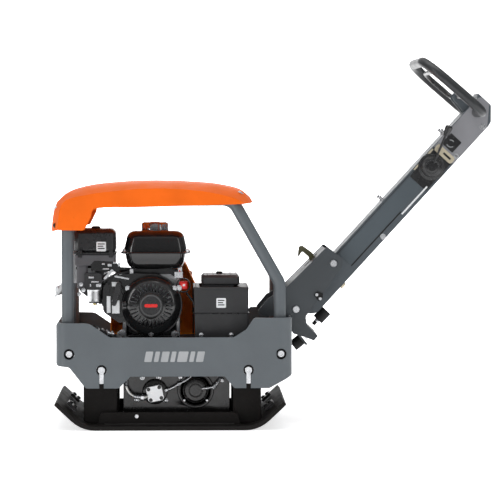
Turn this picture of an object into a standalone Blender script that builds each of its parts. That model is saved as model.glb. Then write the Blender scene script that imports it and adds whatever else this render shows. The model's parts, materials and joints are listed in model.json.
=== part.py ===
"""Reversible plate compactor with a folding drawbar.

Frame: metres, +Z up, +X towards the operator's handle, -Y is the recoil side.
The origin is the centre of the flat sole under the base plate.
"""
import math

import bmesh
import bpy
from mathutils import Matrix, Vector
from mathutils.geometry import tessellate_polygon

# ---- driving dimensions ------------------------------------------------------------------
GAP = 0.0003            # clearance left between neighbouring pieces

PLATE_HALF_WIDTH = 0.250
PLATE_THICK = 0.012
SOLE_HALF = 0.215       # the sole is flat out to here
BEND_RADIUS = 0.100     # underside of the upturned ends
BEND_ANGLE = math.radians(43.0)
TIP_X = 0.333           # lower edge of the upturned tips

BUFFER_FRONT_X = -0.197
BUFFER_REAR_X = 0.2245
BUFFER_Z = 0.172
COLUMN_X = {"front": (-0.2505, -0.1545), "rear": (0.1815, 0.2620)}
COLUMN_IN = 0.118       # inner and outer faces of the columns across Y
COLUMN_OUT = 0.178
COLUMN_TOP = 0.214

SHAFT_FRONT_X = -0.045  # eccentric shafts, both along Y
SHAFT_REAR_X = 0.073
SHAFT_Z = 0.104
SHAFT_RADIUS = 0.0125
GEAR_TEETH = 18
EXCITER_X = (-0.137, 0.172)
EXCITER_TOP = 0.182
EXCITER_Y = 0.108       # half length of the casting without its cover
BEARING_RADIUS = 0.026
BEARING_WIDTH = 0.0135

CHASSIS_X = (-0.328, 0.350)
CHASSIS_HALF = 0.235
CHASSIS_WALL = 0.006
CHASSIS_CORNER = 0.034
DECK_Z = 0.238          # top of the engine deck
BOLT_HOLE = 0.0155      # access holes over the buffer bolts and the guard bolts
POST_BOLT_X = (-0.290, 0.318)
POST_BOLT_Z = 0.218

POST_X = (-0.2945, 0.315)
GUARD_Y = 0.200
GUARD_RADIUS = 0.0172
CROSSBAR_X, CROSSBAR_Z = 0.2946, 0.456      # bar the hook catches when the drawbar is folded
CROSSBAR_RADIUS = 0.0105

HOOD_HALF = 0.228
HOOD_THICK = 0.0035

CRANK_X = -0.056
CASE_FRONT_X = -0.140   # crankcase face that carries the cylinder
CYLINDER_Z = 0.358
CYLINDER_TILT = 30.0    # degrees the cylinder rises towards the front
CRANK_Z = 0.352
CRANK_RADIUS = 0.0125
TANK_CAP = (-0.0455, -0.014)         # filler neck seen from above
BELT_Y = 0.170          # plane of the V-belt
PULLEY_RADIUS = 0.043   # both pulleys, bottom of the groove
BELT_WIDTH = 0.012
BELT_THICK = 0.008

FOLD_X, FOLD_Z = 0.367, 0.337       # hitch pivot on the chassis
ARM_X, ARM_Z = 0.476, 0.471         # drawbar pivot on the hitch
ARM_ANGLE = math.radians(47.5)
HOOK_PIVOT = (0.4190, 0.4755)       # transport hook on the hitch
PIN_RADIUS = 0.0100
PIN_BORE = 0.0108       # holes for both pins in the hitch and the chassis ears
HITCH_HALF = 0.100
HITCH_WALL = 0.008
STOP_FACE = (0.386, 0.0, 0.241)     # rubber stop of the hitch, against the chassis
STOP_AIM = (-0.78, 0.0, -0.63)
STOP_RADIUS = 0.017
STOP_LENGTH = 0.031
ADJUSTER_TOP = (0.4610, 0.0, 0.3270)    # rubber buffer and stud of the height adjuster
ADJUSTER_AIM = (-0.69, 0.0, -0.724)
ARM_HALF = 0.055
ARM_TOP = 0.0135        # top and bottom faces of the drawbar, measured from its pivot
ARM_BOTTOM = -0.066
ARM_LENGTH = 0.654
LOOP_HALF = 0.220
LOOP_REACH = 0.222      # from the middle of the lower bar to the middle of the upper one
LOOP_RADIUS = 0.0142
LOOP_CORNER = 0.085
BAIL_PIVOT = 0.070      # from the middle of the loop's lower bar
BAIL_LENGTH = 0.110
BAIL_HALF = 0.150
BAIL_RADIUS = 0.0065


# ---- shape helpers -----------------------------------------------------------------------
def clear_scene():
    for item in list(bpy.data.objects):
        bpy.data.objects.remove(item, do_unlink=True)


def paint(name, colour, roughness, metallic=0.0):
    found = bpy.data.materials.get(name)
    if found:
        return found
    made = bpy.data.materials.new(name)
    made.use_nodes = True
    shader = made.node_tree.nodes["Principled BSDF"]
    shader.inputs["Base Color"].default_value = (*colour, 1.0)
    shader.inputs["Roughness"].default_value = roughness
    shader.inputs["Metallic"].default_value = metallic
    made.diffuse_color = (*colour, 1.0)
    return made


def closed(shape):
    """Merge doubled points and turn every face outwards."""
    bmesh.ops.remove_doubles(shape, verts=shape.verts, dist=1e-6)
    bmesh.ops.recalc_face_normals(shape, faces=shape.faces)
    return shape


def lay(axis, a, b, height):
    """A point of a drawing: (a, b) in the plane, height along the axis."""
    if axis == "X":
        return Vector((height, a, b))
    if axis == "Y":
        return Vector((a, height, b))
    return Vector((a, b, height))


def prism(outline, axis, low, high, holes=()):
    """Extrude a drawing with holes. Y drawings are (x, z), Z are (x, y), X are (y, z)."""
    shape = bmesh.new()
    loops = [list(outline)] + [list(hole) for hole in holes]
    flat = [Vector((a, b, 0.0)) for loop in loops for a, b in loop]
    triangles = tessellate_polygon([[Vector((a, b, 0.0)) for a, b in loop] for loop in loops])
    ends = []
    for height in (low, high):
        corners = [shape.verts.new(lay(axis, point.x, point.y, height)) for point in flat]
        for triangle in triangles:
            shape.faces.new([corners[index] for index in triangle])
        ends.append(corners)
    start = 0
    for loop in loops:
        count = len(loop)
        for index in range(count):
            here = start + index
            after = start + (index + 1) % count
            shape.faces.new([ends[0][here], ends[0][after], ends[1][after], ends[1][here]])
        start += count
    return closed(shape)


def circle(a, b, radius, count=16, turn=0.0):
    step = 2.0 * math.pi / count
    return [(a + radius * math.cos(turn + step * i), b + radius * math.sin(turn + step * i))
            for i in range(count)]


def arc(a, b, radius, first, last, count):
    """Points along an arc; angles in degrees."""
    angles = [math.radians(first + (last - first) * i / count) for i in range(count + 1)]
    return [(a + radius * math.cos(angle), b + radius * math.sin(angle)) for angle in angles]


def round_corners(points, radius, count=3):
    """Fillet the corners of an outline; radius is one number or one per corner."""
    radii = radius if isinstance(radius, (list, tuple)) else [radius] * len(points)
    out = []
    for index, corner in enumerate(points):
        size = radii[index]
        here = Vector(corner)
        if size <= 0.0:
            out.append(tuple(here))
            continue
        back = (Vector(points[index - 1]) - here).normalized()
        ahead = (Vector(points[(index + 1) % len(points)]) - here).normalized()
        half = back.angle(ahead) / 2.0
        centre = here + (back + ahead).normalized() * (size / math.sin(half))
        first = here + back * (size / math.tan(half)) - centre
        last = here + ahead * (size / math.tan(half)) - centre
        sweep = first.angle_signed(last)
        for step in range(count + 1):
            turn = Matrix.Rotation(-sweep * step / count, 2)
            out.append(tuple(centre + turn @ first))
    return out


def rectangle(a0, b0, a1, b1, radius=0.0, count=3):
    return round_corners([(a0, b0), (a1, b0), (a1, b1), (a0, b1)], radius, count)


def box(low, high, bevel=0.0):
    """A box between two corners, its edges chamfered by bevel."""
    shape = prism(rectangle(low[0], low[1], high[0], high[1]), "Z", low[2], high[2])
    if bevel:
        bmesh.ops.bevel(shape, geom=shape.edges[:], offset=bevel, segments=1,
                        affect="EDGES", profile=0.5, clamp_overlap=True)
        closed(shape)
    return shape


def turned(profile, axis, centre, count=24):
    """Turn a closed (radius, height) profile about an axis through centre."""
    shape = bmesh.new()
    step = 2.0 * math.pi / count
    rings = []
    for radius, height in profile:
        around = [(0.0, 0.0)] if radius < 1e-9 else circle(0.0, 0.0, radius, count, step / 2.0)
        rings.append([shape.verts.new(lay(axis, a, b, height) + Vector(centre)) for a, b in around])
    for index, ring in enumerate(rings):
        other = rings[(index + 1) % len(rings)]
        for i in range(count):
            j = (i + 1) % count
            face = [ring[i % len(ring)], ring[j % len(ring)], other[j % len(other)], other[i % len(other)]]
            face = list(dict.fromkeys(face))
            if len(face) > 2:
                shape.faces.new(face)
    return closed(shape)


def rod(axis, centre, radius, low, high, count=16):
    """A round bar along an axis; centre gives the other two coordinates."""
    base = Vector(centre)
    base["XYZ".index(axis)] = 0.0
    return turned([(0.0, low), (radius, low), (radius, high), (0.0, high)], axis, base, count)


def ring(axis, centre, inner, outer, low, high, count=20):
    base = Vector(centre)
    base["XYZ".index(axis)] = 0.0
    return turned([(inner, low), (outer, low), (outer, high), (inner, high)], axis, base, count)


def rounded_path(points, radius, count=4):
    """A polyline in space whose inner corners become arcs."""
    spots = [Vector(point) for point in points]
    out = [spots[0]]
    for before, here, after in zip(spots, spots[1:], spots[2:]):
        back = (before - here).normalized()
        ahead = (after - here).normalized()
        half = back.angle(ahead) / 2.0
        reach = radius / math.tan(half)
        centre = here + (back + ahead).normalized() * (radius / math.sin(half))
        first = here + back * reach - centre
        last = here + ahead * reach - centre
        for step in range(count + 1):
            turned_by = Matrix.Rotation(first.angle(last) * step / count, 3, first.cross(last))
            out.append(centre + turned_by @ first)
    return out + [spots[-1]]


def smooth_path(points, steps=4):
    """A smooth curve through the points of a hose's route."""
    spots = [Vector(point) for point in points]
    spots = [2 * spots[0] - spots[1]] + spots + [2 * spots[-1] - spots[-2]]
    out = []
    for a, b, c, d in zip(spots, spots[1:], spots[2:], spots[3:]):
        for step in range(steps):
            t = step / steps
            out.append(0.5 * (2 * b + (c - a) * t + (2 * a - 5 * b + 4 * c - d) * t * t
                              + (3 * b - a - 3 * c + d) * t ** 3))
    return out + [spots[-2]]


def tube(points, radius, count=10, loop=False):
    """Sweep a round section along a path."""
    shape = bmesh.new()
    spots = [Vector(point) for point in points]
    number = len(spots)
    side = None
    rings = []
    for index, spot in enumerate(spots):
        after = spots[(index + 1) % number] if loop or index < number - 1 else spot
        before = spots[index - 1] if loop or index > 0 else spot
        along = (after - before).normalized()
        if side is None:
            side = along.orthogonal().normalized()
        side = (side - along * side.dot(along)).normalized()
        up = along.cross(side)
        section = circle(0.0, 0.0, radius, count)
        rings.append([shape.verts.new(spot + side * a + up * b) for a, b in section])
    pairs = list(zip(rings, rings[1:]))
    if loop:
        pairs.append((rings[-1], rings[0]))
    else:
        shape.faces.new(rings[0])
        shape.faces.new(rings[-1])
    for here, after in pairs:
        for i in range(count):
            j = (i + 1) % count
            shape.faces.new([here[i], here[j], after[j], after[i]])
    return closed(shape)


def turn(shape, centre, degrees, axis="Y"):
    """Rotate a shape about an axis through centre."""
    bmesh.ops.rotate(shape, verts=shape.verts, cent=Vector(centre),
                     matrix=Matrix.Rotation(math.radians(degrees), 3, axis))
    return shape


def boolean(first, second, operation):
    """Join, cut or intersect two closed shapes."""
    pieces = []
    for shape in (first, second):
        mesh = bpy.data.meshes.new("working")
        shape.to_mesh(mesh)
        shape.free()
        piece = bpy.data.objects.new("working", mesh)
        bpy.context.scene.collection.objects.link(piece)
        pieces.append(piece)
    modifier = pieces[0].modifiers.new("boolean", "BOOLEAN")
    modifier.operation = operation
    modifier.solver = "EXACT"
    modifier.object = pieces[1]
    depsgraph = bpy.context.evaluated_depsgraph_get()
    result = bmesh.new()
    result.from_mesh(pieces[0].evaluated_get(depsgraph).to_mesh())
    for piece in pieces:
        bpy.data.objects.remove(piece, do_unlink=True)
    return result


def join(first, *others):
    for other in others:
        first = boolean(first, other, "UNION")
    return first


def cut(first, *others):
    for other in others:
        first = boolean(first, other, "DIFFERENCE")
    return first


def common(first, second):
    return boolean(first, second, "INTERSECT")


def aimed(shape, start, direction):
    """Move a shape drawn along +Z from the origin so that it starts at a point and aims along a line."""
    side = Vector((0.0, 1.0, 0.0))
    along = Vector(direction).normalized()
    frame = Matrix((side.cross(along), side, along)).transposed()
    bmesh.ops.transform(shape, verts=shape.verts, matrix=Matrix.Translation(start) @ frame.to_4x4())
    return shape


def piece(name, shape, surface, origin=(0.0, 0.0, 0.0)):
    """Finish a shape as a named object whose origin sits at the given point."""
    bmesh.ops.remove_doubles(shape, verts=shape.verts, dist=2e-6)
    bmesh.ops.dissolve_limit(shape, angle_limit=0.002, verts=shape.verts, edges=shape.edges)
    bmesh.ops.triangulate(shape, faces=shape.faces)
    bmesh.ops.translate(shape, verts=shape.verts, vec=-Vector(origin))
    mesh = bpy.data.meshes.new(name)
    shape.to_mesh(mesh)
    shape.free()
    mesh.shade_smooth()
    mesh.set_sharp_from_angle(angle=math.radians(32.0))
    mesh.materials.append(paint(*surface))
    made = bpy.data.objects.new(name, mesh)
    made.location = origin
    bpy.context.scene.collection.objects.link(made)
    return made


# ---- surfaces ----------------------------------------------------------------------------
GREY_PAINT = ("grey_paint", (0.105, 0.122, 0.135), 0.42)
DARK_PAINT = ("drawbar_paint", (0.062, 0.074, 0.083), 0.40)
BLACK_PAINT = ("black_paint", (0.018, 0.016, 0.016), 0.24)
ORANGE_PAINT = ("orange_paint", (0.90, 0.19, 0.035), 0.36)
ENGINE_BLACK = ("engine_black", (0.012, 0.012, 0.013), 0.18)
BLACK_PLASTIC = ("black_plastic", (0.022, 0.022, 0.024), 0.42)
RUBBER = ("rubber", (0.016, 0.016, 0.016), 0.75)
ZINC = ("zinc_steel", (0.62, 0.63, 0.64), 0.30, 1.0)
CHROMATE = ("yellow_chromate", (0.30, 0.29, 0.14), 0.38, 1.0)
CHROME = ("chrome", (0.80, 0.80, 0.82), 0.08, 1.0)
CAST_ALUMINIUM = ("cast_aluminium", (0.50, 0.51, 0.52), 0.45, 1.0)
STEEL = ("steel", (0.42, 0.42, 0.43), 0.35, 1.0)
RED_PLASTIC = ("red_plastic", (0.72, 0.02, 0.02), 0.35)
HOSE = ("hose", (0.020, 0.020, 0.021), 0.55)


# ---- base: everything below the rubber buffers -------------------------------------------
def plate_curve(height):
    """Rear half of a line that runs through the base plate, height above its underside."""
    bend = math.degrees(BEND_ANGLE)
    points = arc(SOLE_HALF, BEND_RADIUS, BEND_RADIUS - height, -90, bend - 90, 5)
    run = (TIP_X - SOLE_HALF - BEND_RADIUS * math.sin(BEND_ANGLE)) / math.cos(BEND_ANGLE)
    x, z = points[-1]
    return points + [(x + run * math.cos(BEND_ANGLE), z + run * math.sin(BEND_ANGLE))]


def base_outline():
    """Side view of the base plate: flat sole, arcs, and upturned ends."""
    rear = plate_curve(0.0) + plate_curve(PLATE_THICK)[::-1]
    return rear + [(-x, z) for x, z in reversed(rear)]


def plate_clearance():
    """Everything below the base plate's upper face, for trimming what stands on it."""
    top = plate_curve(PLATE_THICK + GAP)
    mirrored = [(-x, z) for x, z in reversed(top)]
    return mirrored + top + [(TIP_X, -0.02), (-TIP_X, -0.02)]


def base_rail(side):
    """A low welded side rail with swept-down ends."""
    low, high = -0.205, 0.198
    top = 0.047
    outline = [(low - 0.004, 0.008), (low, 0.030)] + arc(low + 0.014, top - 0.012, 0.012, 180, 90, 3)
    outline += arc(high - 0.014, top - 0.012, 0.012, 90, 0, 3) + [(high, 0.030), (high + 0.004, 0.008)]
    inner, outer = sorted((side * 0.186, side * 0.198))
    return prism(outline, "Y", inner, outer)


def build_base_plate():
    plan = rectangle(-0.34, -PLATE_HALF_WIDTH, 0.34, PLATE_HALF_WIDTH, 0.022)
    shape = prism(base_outline(), "Y", -PLATE_HALF_WIDTH - 0.01, PLATE_HALF_WIDTH + 0.01)
    shape = common(shape, prism(plan, "Z", -0.02, 0.2))
    shape = join(shape, base_rail(-1), base_rail(1))
    piece("base_plate", shape, BLACK_PAINT)


def build_columns():
    """Four folded channels that carry the rubber buffers."""
    wall = 0.006
    for end, x in (("front", BUFFER_FRONT_X), ("rear", BUFFER_REAR_X)):
        first, last = COLUMN_X[end]
        for side, hand in ((-1, "left"), (1, "right")):
            outer, inner = side * COLUMN_OUT, side * COLUMN_IN
            outline = [(first, outer), (last, outer), (last, inner), (last - wall, inner),
                       (last - wall, outer - side * wall), (first + wall, outer - side * wall),
                       (first + wall, inner), (first, inner)]
            shape = prism(outline, "Z", 0.0, COLUMN_TOP)
            shape = cut(shape, prism(plate_clearance(), "Y", -0.3, 0.3))
            piece(f"column_{end}_{hand}", shape, BLACK_PAINT)
            build_buffer(f"buffer_{end}_{hand}", x, side)


def build_buffer(name, x, side):
    """A waisted rubber buffer between column and chassis side."""
    low = COLUMN_OUT + GAP
    high = CHASSIS_HALF - CHASSIS_WALL - GAP
    middle = (low + high) / 2.0
    profile = [(0.0, low), (0.034, low), (0.034, low + 0.008), (0.030, middle), (0.034, high - 0.008),
               (0.034, high), (0.0, high)]
    shape = turned([(r, side * y) for r, y in profile], "Y", (x, 0.0, BUFFER_Z), 12)
    piece(name, shape, RUBBER)


def build_exciter():
    """The cast exciter box, its near cover, bearings and phase cylinder."""
    low, high = EXCITER_X
    wall = 0.010
    foot = PLATE_THICK + GAP
    outer = rectangle(low, foot, high, EXCITER_TOP, 0.014)
    shape = prism(outer, "Y", -EXCITER_Y, EXCITER_Y + 0.016)
    cavity = rectangle(low + wall, foot + wall, high - wall, EXCITER_TOP - wall, 0.010)
    shape = cut(shape, prism(cavity, "Y", -EXCITER_Y - 0.01, EXCITER_Y))
    seat = BEARING_RADIUS + GAP
    for x in (SHAFT_FRONT_X, SHAFT_REAR_X):
        shape = cut(shape, rod("Y", (x, 0, SHAFT_Z), seat, EXCITER_Y - 0.01, EXCITER_Y + 0.014, 16))
    shape = cut(shape, rod("Y", (SHAFT_FRONT_X, 0, SHAFT_Z), SHAFT_RADIUS + 0.003,
                           EXCITER_Y, EXCITER_Y + 0.03, 16))
    piece("exciter_housing", shape, ENGINE_BLACK)

    inner = -EXCITER_Y - GAP
    outline = rectangle(low, foot, high, EXCITER_TOP, 0.014)
    shape = prism(outline, "Y", inner - 0.016, inner)
    boss = turned([(0.0, inner - 0.018), (0.017, inner - 0.018), (0.019, inner - 0.024),
                   (0.030, inner - 0.024), (0.033, inner - 0.019), (0.053, inner - 0.019),
                   (0.053, inner - 0.012), (0.0, inner - 0.012)],
                  "Y", (SHAFT_REAR_X, 0, SHAFT_Z), 20)
    flange = turned([(0.0, inner - 0.026), (0.030, inner - 0.026), (0.034, inner - 0.022),
                     (0.034, inner - 0.012), (0.0, inner - 0.012)],
                    "Y", (SHAFT_FRONT_X, 0, SHAFT_Z - 0.004), 20)
    shape = join(shape, boss, flange)
    for x in (SHAFT_FRONT_X, SHAFT_REAR_X):
        shape = cut(shape, rod("Y", (x, 0, SHAFT_Z), seat, inner - 0.0142, inner + 0.01, 16))
    piece("exciter_cover", shape, ENGINE_BLACK)

    for x, end in ((SHAFT_FRONT_X, "front"), (SHAFT_REAR_X, "rear")):
        near = inner - 0.0140
        far = EXCITER_Y + GAP
        for start, hand in ((near, "left"), (far, "right")):
            shape = ring("Y", (x, 0, SHAFT_Z), SHAFT_RADIUS + GAP, BEARING_RADIUS,
                         start, start + BEARING_WIDTH - GAP, 16)
            piece(f"bearing_{end}_{hand}", shape, STEEL)

    front = inner - 0.026 - GAP
    half = 0.0225
    square = round_corners([(-half, -half), (half, -half), (half, half), (-half, half)], 0.008, 3)
    tilt = Matrix.Rotation(math.radians(12.0), 2)
    spots = [tilt @ Vector(point) for point in square]
    shape = prism([(SHAFT_FRONT_X + p.x, SHAFT_Z - 0.008 + p.y) for p in spots], "Y", front - 0.016, front)
    piece("phase_cylinder", shape, CAST_ALUMINIUM)


def gear_outline(x, first):
    """A spur gear seen along Y; first is the angle of one tooth's middle."""
    pitch = (SHAFT_REAR_X - SHAFT_FRONT_X) / 2.0
    step = 2.0 * math.pi / GEAR_TEETH
    tooth = ((pitch - 0.0058, -0.27), (pitch, -0.21), (pitch + 0.0046, -0.11),
             (pitch + 0.0046, 0.11), (pitch, 0.21), (pitch - 0.0058, 0.27))
    return [(x + r * math.cos(first + step * (i + a)), SHAFT_Z + r * math.sin(first + step * (i + a)))
            for i in range(GEAR_TEETH) for r, a in tooth]


def build_shafts():
    """Two eccentric shafts with half-round weights and their timing gears."""
    gear_y = (-0.012, 0.012)
    half_tooth = math.pi / GEAR_TEETH
    weights = ((-0.088, -0.030), (0.030, 0.088))
    near = -EXCITER_Y - GAP - 0.0135
    ends = {"front": BELT_Y + 0.016, "rear": EXCITER_Y + 0.0135}
    for end, x, first in (("front", SHAFT_FRONT_X, 0.0), ("rear", SHAFT_REAR_X, half_tooth)):
        axis = (x, 0.0, SHAFT_Z)
        shape = rod("Y", axis, SHAFT_RADIUS, near, ends[end], 16)
        half = arc(x, SHAFT_Z, 0.050, 180, 360, 10) + arc(x, SHAFT_Z, 0.020, 20, 160, 4)
        for low, high in weights:
            shape = join(shape, prism(half, "Y", low, high))
        piece(f"eccentric_shaft_{end}", shape, STEEL, axis)
        bore = circle(x, SHAFT_Z, SHAFT_RADIUS + GAP, 16)
        shape = prism(gear_outline(x, first), "Y", *gear_y, holes=[bore])
        piece(f"timing_gear_{end}", shape, STEEL, axis)


def pulley_shape(x, z, bore, flange, low, high):
    """A V-belt pulley with its groove centred on the belt plane."""
    root = PULLEY_RADIUS
    half = BELT_WIDTH / 2.0 + 0.0008
    profile = [(bore, low), (0.024, low), (0.024, BELT_Y - half - 0.005), (flange, BELT_Y - half - 0.005),
               (flange, BELT_Y - half - 0.0014), (root, BELT_Y - half), (root, BELT_Y + half),
               (flange, BELT_Y + half + 0.0014), (flange, BELT_Y + half + 0.005), (bore, high)]
    return turned(profile, "Y", (x, 0.0, z), 20)


def build_exciter_pulley():
    high = BELT_Y + BELT_WIDTH / 2.0 + 0.0058
    shape = pulley_shape(SHAFT_FRONT_X, SHAFT_Z, SHAFT_RADIUS + GAP, PULLEY_RADIUS + 0.009,
                         EXCITER_Y + 0.020, high)
    piece("exciter_pulley", shape, STEEL, (SHAFT_FRONT_X, 0.0, SHAFT_Z))


# ---- chassis -----------------------------------------------------------------------------
def chassis_side_outline():
    """Side view of the tub, rear top corner first, clockwise."""
    front, rear = CHASSIS_X
    return round_corners([
        (rear, 0.322), (rear, 0.156), (0.284, 0.120), (0.184, 0.120), (0.156, 0.154), (-0.114, 0.154),
        (-0.148, 0.120), (-0.242, 0.120), (-0.290, 0.181), (front, 0.184), (front, 0.308), (-0.232, 0.306),
        (-0.173, 0.266), (0.182, 0.266), (0.218, 0.289), (0.240, 0.322)],
        [0.004, 0.010, 0.008, 0.008, 0.008, 0.008, 0.008, 0.010, 0.014, 0.010, 0.010, 0.030,
         0.016, 0.016, 0.012, 0.012], 2)


def deck_outline():
    """Plan of the engine deck, notched at the far side for the belt."""
    wide = CHASSIS_HALF - CHASSIS_WALL / 2.0
    notch = 0.140
    return [(-0.262, -wide), (0.236, -wide), (0.236, wide), (0.105, wide), (0.105, notch),
            (-0.205, notch), (-0.205, wide), (-0.262, wide)]


def keyhole(x):
    """Round bolt hole with a slot down through the lower edge."""
    hole = arc(x, BUFFER_Z, BOLT_HOLE, -65, 245, 10)
    slot = 0.0065
    return [(x - slot, 0.100), (x + slot, 0.100)] + hole


def build_chassis():
    """Folded tub with rounded vertical corners, engine deck and hitch ears."""
    front, rear = CHASSIS_X
    half, wall = CHASSIS_HALF, CHASSIS_WALL
    plan = rectangle(front, -half, rear, half, CHASSIS_CORNER, 4)
    inside = rectangle(front + wall, -half + wall, rear - wall, half - wall, CHASSIS_CORNER - wall, 4)
    shape = prism(plan, "Z", 0.05, 0.40, holes=[inside])
    shape = common(shape, prism(chassis_side_outline(), "Y", -0.3, 0.3))
    shape = join(shape, prism(deck_outline(), "Z", DECK_Z - 0.006, DECK_Z))
    for x in (BUFFER_FRONT_X, BUFFER_REAR_X):
        shape = cut(shape, prism(keyhole(x), "Y", -0.3, 0.3))
    for x in POST_BOLT_X:
        shape = cut(shape, rod("Y", (x, 0, POST_BOLT_Z), BOLT_HOLE, -0.3, 0.3, 16))
    clear = HITCH_WALL / 2.0 + 0.003
    for side in (-1, 1):
        y = side * (HITCH_HALF - HITCH_WALL / 2.0)
        shape = cut(shape, box((rear - 0.03, y - clear, 0.225), (rear + 0.01, y + clear, 0.36)))
        ear = round_corners([(rear - 0.005, 0.286), (rear + 0.012, 0.292), (FOLD_X + 0.019, FOLD_Z - 0.012),
                             (FOLD_X + 0.019, FOLD_Z + 0.019), (FOLD_X - 0.019, FOLD_Z + 0.019),
                             (rear - 0.005, 0.318)], [0, 0.01, 0.014, 0.018, 0.014, 0], 3)
        low, high = sorted((side * 0.070, side * 0.080))
        shape = join(shape, prism(ear, "Y", low, high, holes=[circle(FOLD_X, FOLD_Z, PIN_BORE, 16)]))
    piece("chassis", shape, GREY_PAINT)


def guard_path(side):
    """Centre line of one guard tube: front post, run under the hood, rear post."""
    y = side * GUARD_Y
    front, rear = POST_X
    return rounded_path([(front, y, 0.196), (front, y, 0.657), (0.179, y, 0.660), (rear, y, 0.420),
                         (rear, y, 0.196)], 0.050, 4)


def build_guard():
    for side, hand in ((-1, "left"), (1, "right")):
        piece(f"guard_tube_{hand}", tube(guard_path(side), GUARD_RADIUS, 12), GREY_PAINT)
    reach = GUARD_Y - GUARD_RADIUS - GAP
    spot = Vector((CROSSBAR_X, 0.0, CROSSBAR_Z))
    piece("guard_crossbar", rod("Y", spot, CROSSBAR_RADIUS, -reach, reach, 12), GREY_PAINT)


# Hood stations from the front lip over the crown to the rear lip:
# crown (x, z), side crease (x, z) and lower edge of the skirt (x, z).
HOOD_STATIONS = (
    ((-0.347, 0.566), (-0.323, 0.575), (-0.317, 0.5735)),
    ((-0.344, 0.600), (-0.319, 0.607), (-0.292, 0.573)),
    ((-0.338, 0.632), (-0.313, 0.638), (-0.268, 0.573)),
    ((-0.325, 0.660), (-0.299, 0.658), (-0.247, 0.574)),
    ((-0.300, 0.682), (-0.272, 0.668), (-0.238, 0.588)),
    ((-0.262, 0.696), (-0.240, 0.674), (-0.226, 0.612)),
    ((-0.205, 0.706), (-0.197, 0.681), (-0.210, 0.636)),
    ((-0.098, 0.713), (-0.095, 0.691), (-0.100, 0.639)),
    ((0.007, 0.713), (0.008, 0.692), (0.008, 0.642)),
    ((0.113, 0.708), (0.105, 0.683), (0.108, 0.645)),
    ((0.165, 0.701), (0.150, 0.674), (0.152, 0.646)),
    ((0.205, 0.690), (0.183, 0.665), (0.182, 0.647)),
    ((0.228, 0.672), (0.201, 0.657), (0.200, 0.648)),
    ((0.241, 0.650), (0.212, 0.651), (0.210, 0.6475)),
)


def build_hood():
    """Pressed cover: a crowned top with flat side skirts, thickened inwards."""
    shape = bmesh.new()
    spread = (-1.0, -0.97, -0.90, -0.72, -0.4, 0.0, 0.4, 0.72, 0.90, 0.97, 1.0)
    rows = []
    for crown, crease, lower in HOOD_STATIONS:
        row = [(lower[0], -HOOD_HALF, lower[1])]
        for across in spread:
            rise = 1.0 - abs(across) ** 3.2
            row.append((crease[0] + (crown[0] - crease[0]) * rise, across * HOOD_HALF,
                        crease[1] + (crown[1] - crease[1]) * rise))
        row.append((lower[0], HOOD_HALF, lower[1]))
        rows.append([shape.verts.new(point) for point in row])
    for here, after in zip(rows, rows[1:]):
        for i in range(len(here) - 1):
            shape.faces.new([here[i], here[i + 1], after[i + 1], after[i]])
    bmesh.ops.recalc_face_normals(shape, faces=shape.faces)
    shape.faces.ensure_lookup_table()
    if shape.faces[len(spread) * 7 + 6].normal.z < 0:
        bmesh.ops.reverse_faces(shape, faces=shape.faces)
    bmesh.ops.solidify(shape, geom=shape.faces[:], thickness=HOOD_THICK)
    piece("hood", closed(shape), ORANGE_PAINT)


# ---- engine ------------------------------------------------------------------------------
def build_engine_block():
    """Crankcase on the deck, and the inclined finned cylinder with its head."""
    floor = DECK_Z + GAP
    front, rear = CASE_FRONT_X, 0.028
    case = round_corners([(front, floor), (rear, floor), (rear, 0.420), (0.000, 0.440), (-0.112, 0.440),
                          (front, 0.400)], [0.006, 0.006, 0.02, 0.01, 0.01, 0.02], 2)
    shape = prism(case, "Y", -0.074, 0.090)
    room = rectangle(-0.128, 0.250, 0.016, 0.412, 0.01, 1)
    shape = cut(shape, prism(room, "Y", -0.090, 0.078))
    shape = cut(shape, rod("Y", (CRANK_X, 0, CRANK_Z), 0.0145, 0.0, 0.2, 16))
    piece("crankcase", shape, CAST_ALUMINIUM)

    near, far, root = -0.0135, 0.0660, CASE_FRONT_X
    foot = (root, 0.0, CYLINDER_Z)
    body = box((root - 0.078, near, CYLINDER_Z - 0.036), (root + 0.040, far, CYLINDER_Z + 0.036), 0.004)
    fins = [box((x, near - 0.006, CYLINDER_Z - 0.044), (x + 0.005, far + 0.006, CYLINDER_Z + 0.044))
            for x in [root - 0.034 - 0.012 * i for i in range(4)]]
    shape = turn(join(body, *fins), foot, CYLINDER_TILT)
    shape = common(shape, box((-0.5, -0.2, 0.2), (root - GAP, 0.2, 0.6)))
    piece("cylinder", shape, CAST_ALUMINIUM)


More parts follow.
